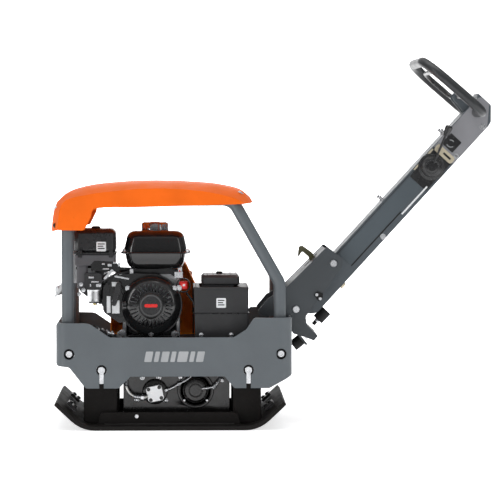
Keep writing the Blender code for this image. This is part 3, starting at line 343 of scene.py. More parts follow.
# ---- materials ---------------------------------------------------------------------------
class Graph:
    """Short names for building a node material on a Principled shader."""

    def __init__(self, name, colour, roughness, metallic=0.0, coat=0.0, specular=0.5):
        self.material = bpy.data.materials.new(name)
        self.material.use_nodes = True
        self.tree = self.material.node_tree
        self.shader = self.tree.nodes["Principled BSDF"]
        self.set(self.shader, "Base Color", (*colour, 1.0))
        self.set(self.shader, "Roughness", roughness)
        self.set(self.shader, "Metallic", metallic)
        self.set(self.shader, "Coat Weight", coat)
        self.set(self.shader, "Coat Roughness", 0.08)
        self.set(self.shader, "Specular IOR Level", specular)
        self.colour = colour
        self.roughness = roughness
        self.place = self.tree.nodes.new("ShaderNodeTexCoord").outputs["Object"]
        self.height = None

    def set(self, node, name, value):
        node.inputs[name].default_value = value

    def node(self, kind, **values):
        made = self.tree.nodes.new(kind)
        for name, value in values.items():
            setattr(made, name, value)
        return made

    def link(self, source, node, name):
        self.tree.links.new(source, node.inputs[name])

    def stretched(self, scale):
        mapping = self.node("ShaderNodeMapping")
        self.set(mapping, "Scale", scale)
        self.link(self.place, mapping, "Vector")
        return mapping.outputs["Vector"]

    def noise(self, scale, detail=4.0, rough=0.55, where=None):
        made = self.node("ShaderNodeTexNoise")
        self.link(where or self.place, made, "Vector")
        self.set(made, "Scale", scale)
        self.set(made, "Detail", detail)
        self.set(made, "Roughness", rough)
        return made.outputs["Fac"]

    def cells(self, scale):
        made = self.node("ShaderNodeTexVoronoi", feature="F1")
        self.link(self.place, made, "Vector")
        self.set(made, "Scale", scale)
        return made.outputs["Distance"]

    def ramp(self, source, low, high, first=0.0, last=1.0):
        made = self.node("ShaderNodeMapRange")
        self.link(source, made, "Value")
        for name, value in (("From Min", low), ("From Max", high), ("To Min", first), ("To Max", last)):
            self.set(made, name, value)
        return made.outputs["Result"]

    def maths(self, operation, one, two):
        made = self.node("ShaderNodeMath", operation=operation)
        for index, value in enumerate((one, two)):
            if isinstance(value, (int, float)):
                made.inputs[index].default_value = value
            else:
                self.tree.links.new(value, made.inputs[index])
        return made.outputs["Value"]

    def tint(self, factor, other):
        """Blend the colour so far towards another colour."""
        mix = self.node("ShaderNodeMix", data_type="RGBA")
        socket = self.shader.inputs["Base Color"]
        if socket.is_linked:
            self.tree.links.new(socket.links[0].from_socket, mix.inputs[6])
        else:
            mix.inputs[6].default_value = socket.default_value
        mix.inputs[7].default_value = (*other, 1.0)
        self.tree.links.new(factor, mix.inputs[0])
        self.tree.links.new(mix.outputs[2], socket)

    def vary_roughness(self, source, spread):
        low, high = self.roughness - spread, self.roughness + spread
        self.link(self.ramp(source, 0.3, 0.7, max(low, 0.03), min(high, 1.0)), self.shader, "Roughness")

    def bump(self, source, depth):
        made = self.node("ShaderNodeBump")
        self.set(made, "Strength", 1.0)
        self.set(made, "Distance", depth)
        self.link(source, made, "Height")
        if self.height is not None:
            self.link(self.height, made, "Normal")
        self.height = made.outputs["Normal"]
        self.link(self.height, self.shader, "Normal")

    def dust(self, amount):
        """Fine dust that gathers on upward faces."""
        geometry = self.node("ShaderNodeNewGeometry")
        split = self.node("ShaderNodeSeparateXYZ")
        self.link(geometry.outputs["Normal"], split, "Vector")
        upward = self.ramp(split.outputs["Z"], 0.3, 0.9)
        patches = self.ramp(self.noise(38.0, 6.0), 0.42, 0.72)
        self.tint(self.maths("MULTIPLY", self.maths("MULTIPLY", upward, patches), amount), DUST)


DUST = (0.42, 0.38, 0.33)


def lighter(colour, share):
    return tuple(min(1.0, value * (1.0 + share)) for value in colour)


def powder_coat(name, colour, roughness, peel=0.00006, specular=0.5, dust=0.1):
    """Baked powder paint: orange peel, faint mottling and a few rubbed spots."""
    g = Graph(name, colour, roughness, specular=specular)
    g.tint(g.ramp(g.noise(9.0, 3.0), 0.35, 0.65), lighter(colour, 0.1))
    g.tint(g.ramp(g.noise(55.0, 6.0, 0.7), 0.6, 0.78, 0.0, 0.35), lighter(colour, -0.16))
    g.vary_roughness(g.noise(24.0, 5.0), 0.06)
    g.bump(g.noise(620.0, 2.0), peel)
    g.bump(g.noise(2600.0, 1.0), peel * 0.3)
    g.dust(dust)
    return g.material


def gloss_paint(name, colour, roughness, scratches=0.25, dust=0.12, coat=0.35, specular=0.5):
    """Smooth black enamel with fine wiping marks."""
    g = Graph(name, colour, roughness, coat=coat, specular=specular)
    marks = g.noise(90.0, 8.0, 0.75, g.stretched((1.0, 1.0, 5.0)))
    g.tint(g.ramp(marks, 0.56, 0.78, 0.0, scratches), (0.09, 0.08, 0.075))
    g.vary_roughness(g.noise(30.0, 6.0, 0.65), 0.08)
    g.bump(g.noise(260.0, 2.0), 0.00004)
    g.dust(dust)
    return g.material


def grained_plastic(name, colour, roughness, grain=900.0, depth=0.00012):
    """Moulded plastic with a leathery grain."""
    g = Graph(name, colour, roughness)
    g.tint(g.ramp(g.noise(14.0, 4.0), 0.35, 0.7, 0.0, 0.8), lighter(colour, 0.22))
    g.vary_roughness(g.noise(45.0, 4.0), 0.07)
    g.bump(g.cells(grain), depth)
    g.bump(g.noise(1800.0, 2.0), depth * 0.4)
    g.dust(0.08)
    return g.material


def bare_metal(name, colour, roughness, brushed=None, pits=0.0, spots=0.5):
    """Plated, machined or cast metal."""
    g = Graph(name, colour, roughness, metallic=1.0)
    g.tint(g.ramp(g.noise(60.0, 6.0, 0.7), 0.35, 0.75, 0.0, spots), lighter(colour, -0.28))
    if brushed:
        lines = g.noise(160.0, 4.0, 0.6, g.stretched(brushed))
        g.vary_roughness(lines, 0.1)
        g.bump(lines, 0.00003)
    else:
        g.vary_roughness(g.noise(120.0, 5.0), 0.09)
    if pits:
        g.bump(g.noise(750.0, 5.0, 0.7), pits)
    return g.material


def soft_rubber(name, colour, roughness=0.72):
    g = Graph(name, colour, roughness, specular=0.35)
    g.tint(g.ramp(g.noise(26.0, 6.0), 0.4, 0.75, 0.0, 0.6), lighter(colour, 0.9))
    g.vary_roughness(g.noise(70.0, 4.0), 0.08)
    g.bump(g.noise(900.0, 3.0), 0.0001)
    return g.material


GREY = powder_coat("grey_powder_coat", (0.105, 0.12, 0.131), 0.4)
DARK = powder_coat("drawbar_powder_coat", (0.07, 0.083, 0.094), 0.4)
HANDLE = powder_coat("handle_powder_coat", (0.024, 0.026, 0.028), 0.36)
ORANGE = powder_coat("orange_powder_coat", (0.88, 0.142, 0.008), 0.52, peel=0.00004, specular=0.12, dust=0.02)
# Painted light: a lighter, yellower copy of the orange paint for the belt guard, to lift it out of the shade it
# lies in behind the engine.
LIT_GUARD_ORANGE = powder_coat("belt_guard_orange_painted_light", (0.98, 0.255, 0.02), 0.46, peel=0.00004, specular=0.25,
                           dust=0.02)
BASE_BLACK = gloss_paint("base_enamel", (0.011, 0.0096, 0.009), 0.34, scratches=0.14, dust=0.02, coat=0.12)
PLATE_BLACK = gloss_paint("base_plate_enamel", (0.0115, 0.01, 0.0093), 0.6, scratches=0.3, dust=0.03,
                          coat=0.0,
                          specular=0.14)
EXCITER_BLACK = gloss_paint("exciter_enamel", (0.011, 0.0102, 0.0102), 0.24, scratches=0.2, dust=0.05)
ENGINE_BLACK = gloss_paint("engine_enamel", (0.0085, 0.0085, 0.009), 0.15, scratches=0.1, dust=0.05)
PLASTIC = grained_plastic("black_plastic", (0.024, 0.024, 0.026), 0.44)
SLEEK_PLASTIC = grained_plastic("sleek_plastic", (0.016, 0.016, 0.017), 0.28, grain=1600.0, depth=0.00004)
RED = grained_plastic("red_plastic", (0.78, 0.015, 0.012), 0.3, grain=1600.0, depth=0.00003)
RUBBER = soft_rubber("rubber", (0.012, 0.012, 0.012))
HOSE_RUBBER = soft_rubber("hose_rubber", (0.014, 0.014, 0.015), 0.5)
ZINC = bare_metal("zinc_plate", (0.74, 0.75, 0.77), 0.27)
STEEL = bare_metal("machined_steel", (0.5, 0.5, 0.51), 0.3, brushed=(1.0, 12.0, 1.0))
CAST = bare_metal("cast_aluminium", (0.58, 0.59, 0.6), 0.44, pits=0.0003)
BRIGHT_CAST = bare_metal("bright_cast", (0.8, 0.81, 0.82), 0.34, pits=0.00012, spots=0.25)
CHROME = bare_metal("chrome", (0.52, 0.52, 0.53), 0.07, spots=0.3)
BRAID = bare_metal("braided_hose", (0.72, 0.72, 0.7), 0.4, brushed=(4.0, 4.0, 4.0))
AIRBOX = grained_plastic("air_cleaner_plastic", (0.094, 0.092, 0.099), 0.46)
MUFFLER = bare_metal("muffler_steel", (0.62, 0.63, 0.64), 0.42, pits=0.0001)
BRASS = bare_metal("brass_fitting", (0.78, 0.66, 0.34), 0.3)
LABEL = grained_plastic("white_label", (0.8, 0.81, 0.82), 0.42, grain=2400.0, depth=0.00002)
MARK = grained_plastic("light_grey_mark", (0.36, 0.37, 0.38), 0.46, grain=2400.0, depth=0.00002)
HITCH = powder_coat("hitch_powder_coat", (0.046, 0.053, 0.059), 0.42)
DIM = grained_plastic("dim_mark", (0.085, 0.085, 0.087), 0.4, grain=2400.0, depth=0.00002)
OLIVE = powder_coat("olive_chromate", (0.095, 0.088, 0.04), 0.42)
PANEL = powder_coat("panel_paint", (0.062, 0.078, 0.09), 0.46)
HEAD = powder_coat("head_paint", (0.235, 0.235, 0.25), 0.42)
CREAM = bare_metal("cream_bracket", (0.74, 0.66, 0.5), 0.42, spots=0.3)

LEFT, RIGHT = -1.0, 1.0
PLATE_THICKNESS = 0.012
SHROUD_FACE = -0.1178
CAP_PLACE = (-0.0455, -0.014)


# ---- fasteners ---------------------------------------------------------------------------
def hexagon(across):
    return circle(0.0, 0.0, across / math.sqrt(3.0), 6)


def hex_bolt(across, head, washer=0.0):
    """A hexagon head on a washer, drawn upwards from its seat."""
    shape = prism(hexagon(across), "Z", washer, washer + head)
    crown = turned([(0.0, washer), (across * 0.62, washer), (across * 0.62, washer + head * 0.45),
                    (across * 0.5, washer + head), (0.0, washer + head)], 24)
    shape = combine(shape, crown, "INTERSECT")
    if washer:
        shape = merge(shape, turned([(0.0, 0.0), (across * 0.86, 0.0), (across * 0.88, washer * 0.5),
                                     (across * 0.84, washer), (0.0, washer)], 28))
    return shape


def socket_bolt(radius, head, washer=0.0):
    """A cap screw with its hexagon socket."""
    shape = turned([(0.0, washer), (radius, washer), (radius, washer + head * 0.88),
                    (radius * 0.9, washer + head), (0.0, washer + head)], 28)
    shape = cut(shape, prism(hexagon(radius * 1.05), "Z", washer + head * 0.45, washer + head + 0.01))
    if washer:
        shape = merge(shape, turned([(0.0, 0.0), (radius * 1.55, 0.0), (radius * 1.55, washer),
                                     (0.0, washer)], 28))
    return shape


def dome_bolt(radius, head, washer=0.0):
    """A flanged button head."""
    profile = [(0.0, 0.0), (radius * 1.4, 0.0), (radius * 1.45, washer), (radius, washer + head * 0.15),
               (radius * 0.92, washer + head * 0.55), (radius * 0.6, washer + head * 0.92),
               (0.0, washer + head)]
    return turned(profile, 28)


def bolts(name, made, spots, direction, surface, body):
    """One kind of fastener at several places, all facing one way."""
    drawn = [aimed(made(), spot, direction, roll=0.35 * index) for index, spot in enumerate(spots)]
    return show(name, merge(*drawn), surface, body, crease=30.0)


# ---- base --------------------------------------------------------------------------------
def dress_base():
    """Base plate, columns, buffers, bearings, end brackets and rail welds."""
    refine("base_plate", PLATE_BLACK, 0.0018, 3)
    for end in ("front", "rear"):
        for hand in ("left", "right"):
            refine(f"column_{end}_{hand}", PLATE_BLACK, 0.0016, 3)
            rubber_buffer(f"buffer_{end}_{hand}")
            refine(f"bearing_{end}_{hand}", STEEL, 0.0008, 2)
    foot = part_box("base_plate")[0].z + PLATE_THICKNESS
    brackets = []
    for end in (-1.0, 1.0):
        for y in (-0.12, 0.12):
            outline = [(end * 0.2768, foot + 0.0325), (end * 0.3011, foot + 0.0554),
                       (end * 0.2951, foot + 0.0617),
                       (end * 0.2708, foot + 0.0388)]
            brackets.append(prism(outline, "Y", y - 0.028, y + 0.028))
        bolts(f"end_bracket_bolts_{'front' if end < 0 else 'rear'}", lambda: hex_bolt(0.01, 0.005),
              [(end * x, y, foot + z) for y in (-0.12, 0.12) for x,
               z in ((0.2772, 0.0447), (0.2887, 0.0556))],
              (end * -0.686, 0, 0.727), BASE_BLACK, "base")
    show("end_brackets", merge(*brackets), BASE_BLACK, "base", 0.0012, 2)
    weld = []
    for side in (LEFT, RIGHT):
        y = side * 0.1995
        weld.append(tube([(-0.19, y, foot + 0.0008), (0.0, y, foot + 0.0014), (0.185, y, foot + 0.0008)],
                         0.003, 10))
    show("rail_welds", merge(*weld), BASE_BLACK, "base")
    spots = [(-0.097, -0.198, 0.036)]
    bolts("rail_bolts_left", lambda: hex_bolt(0.0105, 0.0055), spots, (0, -1, 0), ZINC, "base")


def rubber_buffer(node):
    """Barrel-waisted rubber between two bonded steel discs."""
    low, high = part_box(node)
    centre = (low + high) / 2.0
    length = high.y - low.y
    outer = (high.z - low.z) / 2.0
    profile = [(0.0, 0.004), (outer * 0.96, 0.004)]
    for step in range(13):
        t = step / 12.0
        waist = 1.0 - 0.13 * math.sin(math.pi * t)
        profile.append((outer * 0.97 * waist, 0.005 + (length - 0.01) * t))
    profile += [(outer * 0.96, length - 0.004), (0.0, length - 0.004)]
    start = (centre.x, low.y, centre.z)
    show(node + "_rubber", aimed(turned(profile, 40), start, (0, 1, 0)), RUBBER, "base",
         stands_for=(node,))
    discs = [turned([(0.0, h), (outer, h), (outer, h + 0.0038), (0.0, h + 0.0038)], 40)
             for h in (0.0, length - 0.0038)]
    show(node + "_discs", aimed(merge(*discs), start, (0, 1, 0)), STEEL, "base", 0.0005, 2)


def dress_exciter():
    """Cast exciter case, its near cover with turned bosses, bolts and the phase cylinder."""
    refine("exciter_housing", EXCITER_BLACK, 0.003, 4)
    refine("exciter_cover", EXCITER_BLACK, 0.0012, 3)
    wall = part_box("exciter_cover")[1].y - 0.016
    front = JOINTS["front_exciter_spin"]["pos_m"]
    rear = JOINTS["rear_exciter_spin"]["pos_m"]
    x, z = rear[0], rear[2]
    profile = [(0.0, 0.0), (0.0535, 0.0), (0.0535, 0.0022), (0.0515, 0.0042), (0.047, 0.0042),
               (0.045, 0.0024),
               (0.036, 0.0024), (0.0335, 0.0048), (0.0305, 0.0092), (0.024, 0.01), (0.0205, 0.01),
               (0.0195, 0.0086), (0.018, 0.0086), (0.017, 0.0108), (0.0, 0.0112)]
    show("exciter_shaft_cover", aimed(turned(profile, 64), (x, wall - 0.0006, z), (0, -1, 0)), EXCITER_BLACK,
         "base", 0.0006, 2)
    profile = [(0.0, 0.0), (0.037, 0.0), (0.037, 0.006), (0.0345, 0.0095), (0.0315, 0.0105), (0.0, 0.0105)]
    show("phase_flange", aimed(turned(profile, 56), (front[0], wall - 0.0006, front[2] - 0.004), (0, -1, 0)),
         EXCITER_BLACK, "base", 0.0008, 2)
    spots = [(x, wall, front[2] + z) for x, z in ((-0.082, 0.037), (-0.034, 0.037), (0.031, 0.037),
                                                  (-0.014, -0.03),
                                                  (0.04, -0.03), (0.106, -0.03), (-0.098, -0.028),
                                                  (0.15, 0.03))]
    bolts("exciter_bolts", lambda: dome_bolt(0.0048, 0.0042, 0.0012), spots, (0, -1, 0), ZINC, "base")

    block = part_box("phase_cylinder")
    centre = (block[0] + block[1]) / 2.0
    tilt = Matrix.Rotation(math.radians(12.0), 2)
    square = [tilt @ Vector(p) for p in rectangle(-0.0235, -0.0235, 0.0235, 0.0235, 0.0085, 8)]
    plate = prism([(centre.x + p.x, centre.z + p.y) for p in square], "Y", block[0].y, block[1].y)
    show("phase_cylinder_finished", plate, BRIGHT_CAST, "base", 0.0018, 3, 35.0,
         ("phase_cylinder",))
    corners = [tilt @ Vector((a * 0.0158, b * 0.0158)) for a in (-1, 1) for b in (-1, 1)]
    face = block[0].y + 0.0002
    spots = [(centre.x + p.x, face, centre.z + p.y) for p in corners]
    bolts("phase_bolts", lambda: socket_bolt(0.0036, 0.003, 0.0004), spots, (0, -1, 0), EXCITER_BLACK, "base")
    return rear, wall


def fitting(start, direction, size=0.0062):
    """Crimped ferrule, nut and collar at a hose's end."""
    profile = [(0.0, -0.004), (size * 0.85, -0.004), (size * 0.85, 0.0), (size * 1.05, 0.0005),
               (size * 1.1, 0.004),
               (size * 0.9, 0.005), (size * 1.1, 0.006), (size * 1.1, 0.01), (size * 0.95, 0.011),
               (size * 1.1, 0.012), (size * 1.1, 0.0165), (size * 0.8, 0.017), (0.0, 0.017)]
    nut = prism(hexagon(size * 2.5), "Z", 0.018, 0.026)
    collar = turned([(0.0, 0.017), (size * 0.7, 0.017), (size * 0.7, 0.031), (0.0, 0.031)], 24)
    return aimed(merge(turned(profile, 24), nut, collar), start, direction)


def dress_lines(rear, wall):
    """Hydraulic hose and pipe of the phase cylinder, and the lead of the rear cover."""
    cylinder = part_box("phase_cylinder")
    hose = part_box("hydraulic_hose")
    y = hose[0].y + 0.0055
    route = [(cylinder[0].x + 0.004, y, 0.0885), (-0.084, y, 0.0862), (-0.103, y, 0.089), (-0.1195, y, 0.101),
             (-0.129, y, 0.1215), (-0.1285, y + 0.01, 0.145), (-0.118, y + 0.02, 0.17),
             (-0.105, y + 0.03, 0.198), (-0.095, y + 0.04, 0.22)]
    path = smooth_path(route, 6)
    show("hydraulic_hose_finished", tube(path, 0.005, 16), BRAID, "base",
         stands_for=("hydraulic_hose",))
    ends = [fitting(route[2], Vector(route[1]) - Vector(route[2])),
            fitting(route[4], Vector(route[5]) - Vector(route[4]))]
    show("hose_fittings", merge(*ends), ZINC, "base", crease=28.0)

    pipe = [(-0.014, wall - 0.012, 0.104), (0.0, wall - 0.02, 0.11), (0.02, wall - 0.02, 0.121),
            (0.044, wall - 0.016, 0.134), (0.062, wall - 0.008, 0.147)]
    show("phase_pipe", bent_tube(pipe, 6, 0.0034, 14), ZINC, "base")
    nuts = [aimed(prism(hexagon(0.0115), "Z", 0.0, 0.009), pipe[0], Vector(pipe[1]) - Vector(pipe[0])),
            aimed(prism(hexagon(0.0105), "Z", 0.0, 0.008), pipe[2], Vector(pipe[3]) - Vector(pipe[2]))]
    show("phase_pipe_nuts", merge(*nuts), ZINC, "base", 0.0004, 1, 28.0)

    lead = [(rear[0] + 0.018, wall - 0.014, rear[2] + 0.005),
            (rear[0] + 0.038, wall - 0.018, rear[2] + 0.008),
            (rear[0] + 0.056, wall - 0.018, rear[2] + 0.014), (rear[0] + 0.068, wall - 0.014, rear[2] + 0.03),
            (rear[0] + 0.074, wall - 0.008, rear[2] + 0.052)]
    show("drain_line", bent_tube(lead, 6, 0.0034, 14), ZINC, "base")
    rings = [aimed(disc(0.0052, 0.003, 20),
                   Vector(lead[0]).lerp(Vector(lead[1]), t), Vector(lead[1]) - Vector(lead[0]))
             for t in (0.15, 0.4, 0.65, 0.9)]
    rings.append(fitting(lead[3], Vector(lead[2]) - Vector(lead[3]), 0.0048))
    show("drain_fittings", merge(*rings), ZINC, "base", crease=28.0)


# ---- chassis, guard and hood -------------------------------------------------------------
WALL_Y = 0.235
POST_X = (-0.2945, 0.315)
GUARD_Y = 0.2
BUFFER_X = (-0.197, 0.2245)
BUFFER_Z = 0.172
POST_BOLT_X = (-0.29, 0.318)
POST_BOLT_Z = 0.218
BOLT_HOLE = 0.0155

CHASSIS_X = (-0.328, 0.35)


def chassis_shell():
    """The folded tub with finely rounded corners, its deck, bolt holes and hitch ears."""
    front, rear = CHASSIS_X
    plan = rectangle(front, -WALL_Y, rear, WALL_Y, 0.034, 14)
    inside = rectangle(front + 0.006, 0.006 - WALL_Y, rear - 0.006, WALL_Y - 0.006, 0.028, 14)
    side = round_corners([
        (rear, 0.322), (rear, 0.156), (0.284, 0.12), (0.184, 0.12), (0.156, 0.154), (-0.114, 0.154),
        (-0.148, 0.12), (-0.242, 0.12), (-0.29, 0.181), (front, 0.184), (front, 0.308), (-0.232, 0.306),
        (-0.173, 0.266), (0.182, 0.266), (0.218, 0.289), (0.24, 0.322)],
        [0.004, 0.01, 0.008, 0.008, 0.008, 0.008, 0.008, 0.01, 0.014, 0.01, 0.01, 0.03,
         0.016, 0.016, 0.012, 0.012], 8)
    shape = combine(prism(plan, "Z", 0.05, 0.4, holes=[inside]), prism(side, "Y", -0.3, 0.3), "INTERSECT")
    wide = WALL_Y - 0.003
    deck = [(-0.262, -wide), (0.236, -wide), (0.236, wide), (0.105, wide), (0.105, 0.14), (-0.205, 0.14),
            (-0.205, wide), (-0.262, wide)]
    shape = combine(shape, prism(deck, "Z", 0.232, 0.238), "UNION")
    for x in BUFFER_X:
        hole = [(x - 0.0065, 0.1), (x + 0.0065, 0.1)] + arc(x, BUFFER_Z, BOLT_HOLE, -65, 245, 32)
        shape = cut(shape, prism(hole, "Y", -0.3, 0.3))
    for x in POST_BOLT_X:
        shape = cut(shape, prism(circle(x, POST_BOLT_Z, BOLT_HOLE, 48), "Y", -0.3, 0.3))
    pivot = JOINTS["handle_fold"]["pos_m"]
    for hand in (LEFT, RIGHT):
        y = hand * 0.096
        slot = box((rear - 0.03, y - 0.007, 0.225), (rear + 0.01, y + 0.007, 0.36))
        shape = cut(shape, slot)
        ear = round_corners([(rear - 0.005, 0.286), (rear + 0.012, 0.292),
                             (pivot[0] + 0.019, pivot[2] - 0.012),
                             (pivot[0] + 0.019, pivot[2] + 0.019), (pivot[0] - 0.019, pivot[2] + 0.019),
                             (rear - 0.005, 0.318)], [0, 0.01, 0.014, 0.018, 0.014, 0], 6)
        low, high = sorted((hand * 0.07, hand * 0.08))
        bored = prism(ear, "Y", low, high, holes=[circle(pivot[0], pivot[2], 0.0108, 32)])
        shape = combine(shape, bored, "UNION")
    return shape


def dress_chassis():
    """Folded tub with its bolts, keyhole plates, side bars and tube guard."""
    show("chassis_finished", chassis_shell(), GREY, "chassis", 0.0011, 3, 32.0, ("chassis",))
    rings, heads, pins, tabs = [], [], [], []
    for side in (LEFT, RIGHT):
        out = (0.0, side, 0.0)
        for x in POST_BOLT_X:
            # Painted shade: a black disc behind each post bolt hole, standing for the hole's shaded depth.
            rings.append(aimed(disc(0.015, 0.0012, 40),
                               (x, side * 0.221, POST_BOLT_Z), out))
            heads.append(aimed(socket_bolt(0.0098, 0.007), (x, side * 0.2222, POST_BOLT_Z), out))
            pins.append(aimed(disc(0.006, 0.006, 20),
                              (x, side * 0.216, 0.218), out))
        for x in BUFFER_X:
            face = side * (WALL_Y - 0.006)
            tabs.append(flat_plate([(x - 0.0062, 0.133), (x + 0.0062, 0.133), (x + 0.0062, BUFFER_Z),
                                    (x - 0.0062, BUFFER_Z)], 0.0012, 2, min(face, face + side * 0.0035),
                                   max(face, face + side * 0.0035)))
            # Painted shade: a black disc in each keyhole, where the buffer's metal disc lies in shade.
            rings.append(aimed(disc(0.015, 0.0006, 40),
                               (x, face, BUFFER_Z), out))
            heads.append(aimed(socket_bolt(0.0098, 0.005), (x, side * (WALL_Y - 0.003), BUFFER_Z), out, 0.3))
    # These black discs are painted shade in the bolt holes and keyholes.
    show("bolt_hole_painted_shade", merge(*rings), RUBBER, "chassis", 0.0003, 1)
    show("chassis_bolts", merge(*heads), ZINC, "chassis", crease=28.0)
    show("post_bolt_shanks", merge(*pins), STEEL, "chassis")
    show("buffer_plates", merge(*tabs), ZINC, "chassis", 0.0004, 1)
    for side, hand in ((LEFT, "left"), (RIGHT, "right")):
        bars = []
        widths = (0.021, 0.013, 0.021, 0.013, 0.028, 0.013, 0.021)
        x = -0.075
        for width in widths:
            lean = 0.006
            outline = [(x, 0.196), (x + width, 0.196), (x + width + lean, 0.226), (x + lean, 0.226)]
            low, high = sorted((side * WALL_Y, side * (WALL_Y + 0.0007)))
            bars.append(flat_plate(outline, 0.0022, 3, low, high))
            x += width + 0.0065
        show(f"side_bars_{hand}", merge(*bars), MARK, "chassis", 0.0001, 1)
    seam = []
    for side in (LEFT, RIGHT):
        for x in POST_X:
            seam.append(tube([(x - 0.011, side * 0.2286, 0.2), (x - 0.012, side * 0.2284, 0.255)], 0.0022, 8))
    show("post_welds", merge(*seam), GREY, "chassis")

    for side, hand in ((LEFT, "left"), (RIGHT, "right")):
        y = side * GUARD_Y
        path = rounded_path([(POST_X[0], y, 0.196), (POST_X[0], y, 0.657), (0.179, y, 0.66),
                             (POST_X[1], y, 0.42), (POST_X[1], y, 0.196)], 0.05, 14)
        show(f"guard_tube_{hand}_finished", tube(path, 0.0172, 36), GREY, "chassis",
             stands_for=(f"guard_tube_{hand}",))
    reach = GUARD_Y - 0.0172
    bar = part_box("guard_crossbar")
    bar = (bar[0] + bar[1]) / 2.0
    spot = (bar.x, -reach, bar.z)
    show("guard_crossbar_finished", aimed(turned([(0.0, 0.0), (0.0105, 0.0), (0.0105, 2 * reach), (0.0,
                                                            2 * reach)], 36),
                                          spot, (0, 1, 0)), GREY, "chassis",
         stands_for=("guard_crossbar",))
    beads = [weld_ring((bar.x, side * (reach + 0.0006), bar.z), (0, -side, 0), 0.0115, 0.002)
             for side in (LEFT, RIGHT)]
    show("crossbar_welds", merge(*beads), GREY, "chassis", crease=60.0)


def weld_ring(centre, direction, radius, bead, count=40):
    """A rippled weld bead round a tube's end."""
    around = []
    for i in range(count):
        angle = 2.0 * math.pi * i / count
        around.append(Vector((radius * math.cos(angle), radius * math.sin(angle), 0.0004 * (i % 2))))
    return aimed(tube(around, bead, 8, loop=True), centre, direction)


HOOD_STATIONS = (
    ((-0.347, 0.566), (-0.323, 0.575), (-0.317, 0.5735)),
    ((-0.344, 0.6), (-0.319, 0.607), (-0.292, 0.573)),
    ((-0.338, 0.632), (-0.313, 0.638), (-0.268, 0.573)),
    ((-0.325, 0.66), (-0.299, 0.658), (-0.247, 0.574)),
    ((-0.3, 0.682), (-0.272, 0.668), (-0.238, 0.588)),
    ((-0.262, 0.696), (-0.24, 0.674), (-0.226, 0.612)),
    ((-0.205, 0.706), (-0.197, 0.681), (-0.21, 0.636)),
    ((-0.098, 0.713), (-0.095, 0.691), (-0.1, 0.639)),
    ((0.007, 0.713), (0.008, 0.692), (0.008, 0.642)),
    ((0.113, 0.708), (0.105, 0.683), (0.108, 0.645)),
    ((0.165, 0.701), (0.15, 0.674), (0.152, 0.646)),
    ((0.205, 0.69), (0.183, 0.665), (0.182, 0.647)),
    ((0.228, 0.672), (0.201, 0.657), (0.2, 0.648)),
    ((0.241, 0.65), (0.212, 0.651), (0.21, 0.6475)),
)
HOOD_HALF = 0.228


def hood_top(along, across):
    """A point of the hood's crown surface; along runs 0 to 1 from the front lip to the rear lip."""
    place = along * (len(HOOD_SMOOTH) - 1)
    index = min(int(place), len(HOOD_SMOOTH) - 2)
    share = place - index
    crown, crease, _ = (a.lerp(b, share) for a, b in zip(HOOD_SMOOTH[index], HOOD_SMOOTH[index + 1]))
    rise = 1.0 - abs(across) ** 3.2
    return Vector((crease.x + (crown.x - crease.x) * rise, across * HOOD_HALF,
                   crease.y + (crown.y - crease.y) * rise))


def smooth_stations(steps=4):
    lines = []
    for column in range(3):
        points = [(station[column][0], station[column][1], 0.0) for station in HOOD_STATIONS]
        lines.append([Vector((p.x, p.y)) for p in smooth_path(points, steps)])
    return list(zip(*lines))


HOOD_SMOOTH = smooth_stations()


def dress_hood():
    """Pressed plastic hood with a recessed panel, its bolts and straps."""
    count = 48
    spread = [math.sin(math.pi / 2.0 * (2.0 * i / count - 1.0)) for i in range(count + 1)]
    shape = bmesh.new()
    rows = []
    last = len(HOOD_SMOOTH) - 1
    for number, (crown, crease, lower) in enumerate(HOOD_SMOOTH):
        along = number / last
        row = []
        for share in (1.0, 0.5):
            spot = crease.lerp(lower, share)
            row.append((spot.x, -HOOD_HALF, spot.y))
        for across in spread:
            point = hood_top(along, across)
            inside = min(max((0.5 - abs(along - 0.58) - 0.13) / 0.02, 0.0), 1.0)
            inside *= min(max((0.6 - abs(across)) / 0.03, 0.0), 1.0)
            inside = inside * inside * (3.0 - 2.0 * inside)
            row.append((point.x, point.y, point.z - 0.0042 * inside))
        for share in (0.5, 1.0):
            spot = crease.lerp(lower, share)
            row.append((spot.x, HOOD_HALF, spot.y))
        rows.append([shape.verts.new(point) for point in row])
    for here, after in zip(rows, rows[1:]):
        for i in range(len(here) - 1):
            shape.faces.new([here[i], here[i + 1], after[i + 1], after[i]])
    bmesh.ops.recalc_face_normals(shape, faces=shape.faces)
    top = max(shape.faces, key=lambda face: face.calc_center_median().z)
    if top.normal.z < 0:
        bmesh.ops.reverse_faces(shape, faces=shape.faces)
    bmesh.ops.solidify(shape, geom=shape.faces[:], thickness=0.0034)
    show("hood_finished", closed(shape), ORANGE, "chassis", 0.0012, 3, 30.0, ("hood",))
    spots = [hood_top(0.035, across) for across in (-0.86, 0.86)]
    bolts("hood_front_bolts", lambda: dome_bolt(0.0055, 0.004, 0.0012),
          [p + Vector((-0.0004, 0, 0)) for p in spots],
          (-0.995, 0, 0.05), PLASTIC, "chassis")
    spots = [hood_top(0.16 + 0.7 * share, across) for share in (0.0, 1.0) for across in (-0.72, 0.72)]
    bolts("hood_top_bolts", lambda: dome_bolt(0.0068, 0.0036, 0.0012),
          [p - Vector((0, 0, 0.0008)) for p in spots[:2]],
          (-0.55, 0, 0.83), ZINC, "chassis")
    bolts("hood_rear_bolts", lambda: dome_bolt(0.0068, 0.0036, 0.0012),
          [p - Vector((0, 0, 0.0008)) for p in spots[2:]],
          (0.35, 0, 0.94), ZINC, "chassis")
    brackets = []
    for side in (LEFT, RIGHT):
        for x, z in ((-0.262, 0.656), (0.15, 0.658)):
            y = side * GUARD_Y
            strap = [Vector((x, y + side * a, z + b)) for a, b in arc(0.0, 0.0, 0.0185, -40, 220, 14)]
            brackets.append(strap_of(strap, 0.018, 0.0024))
    show("hood_straps", merge(*brackets), ZINC, "chassis", 0.0004, 1)


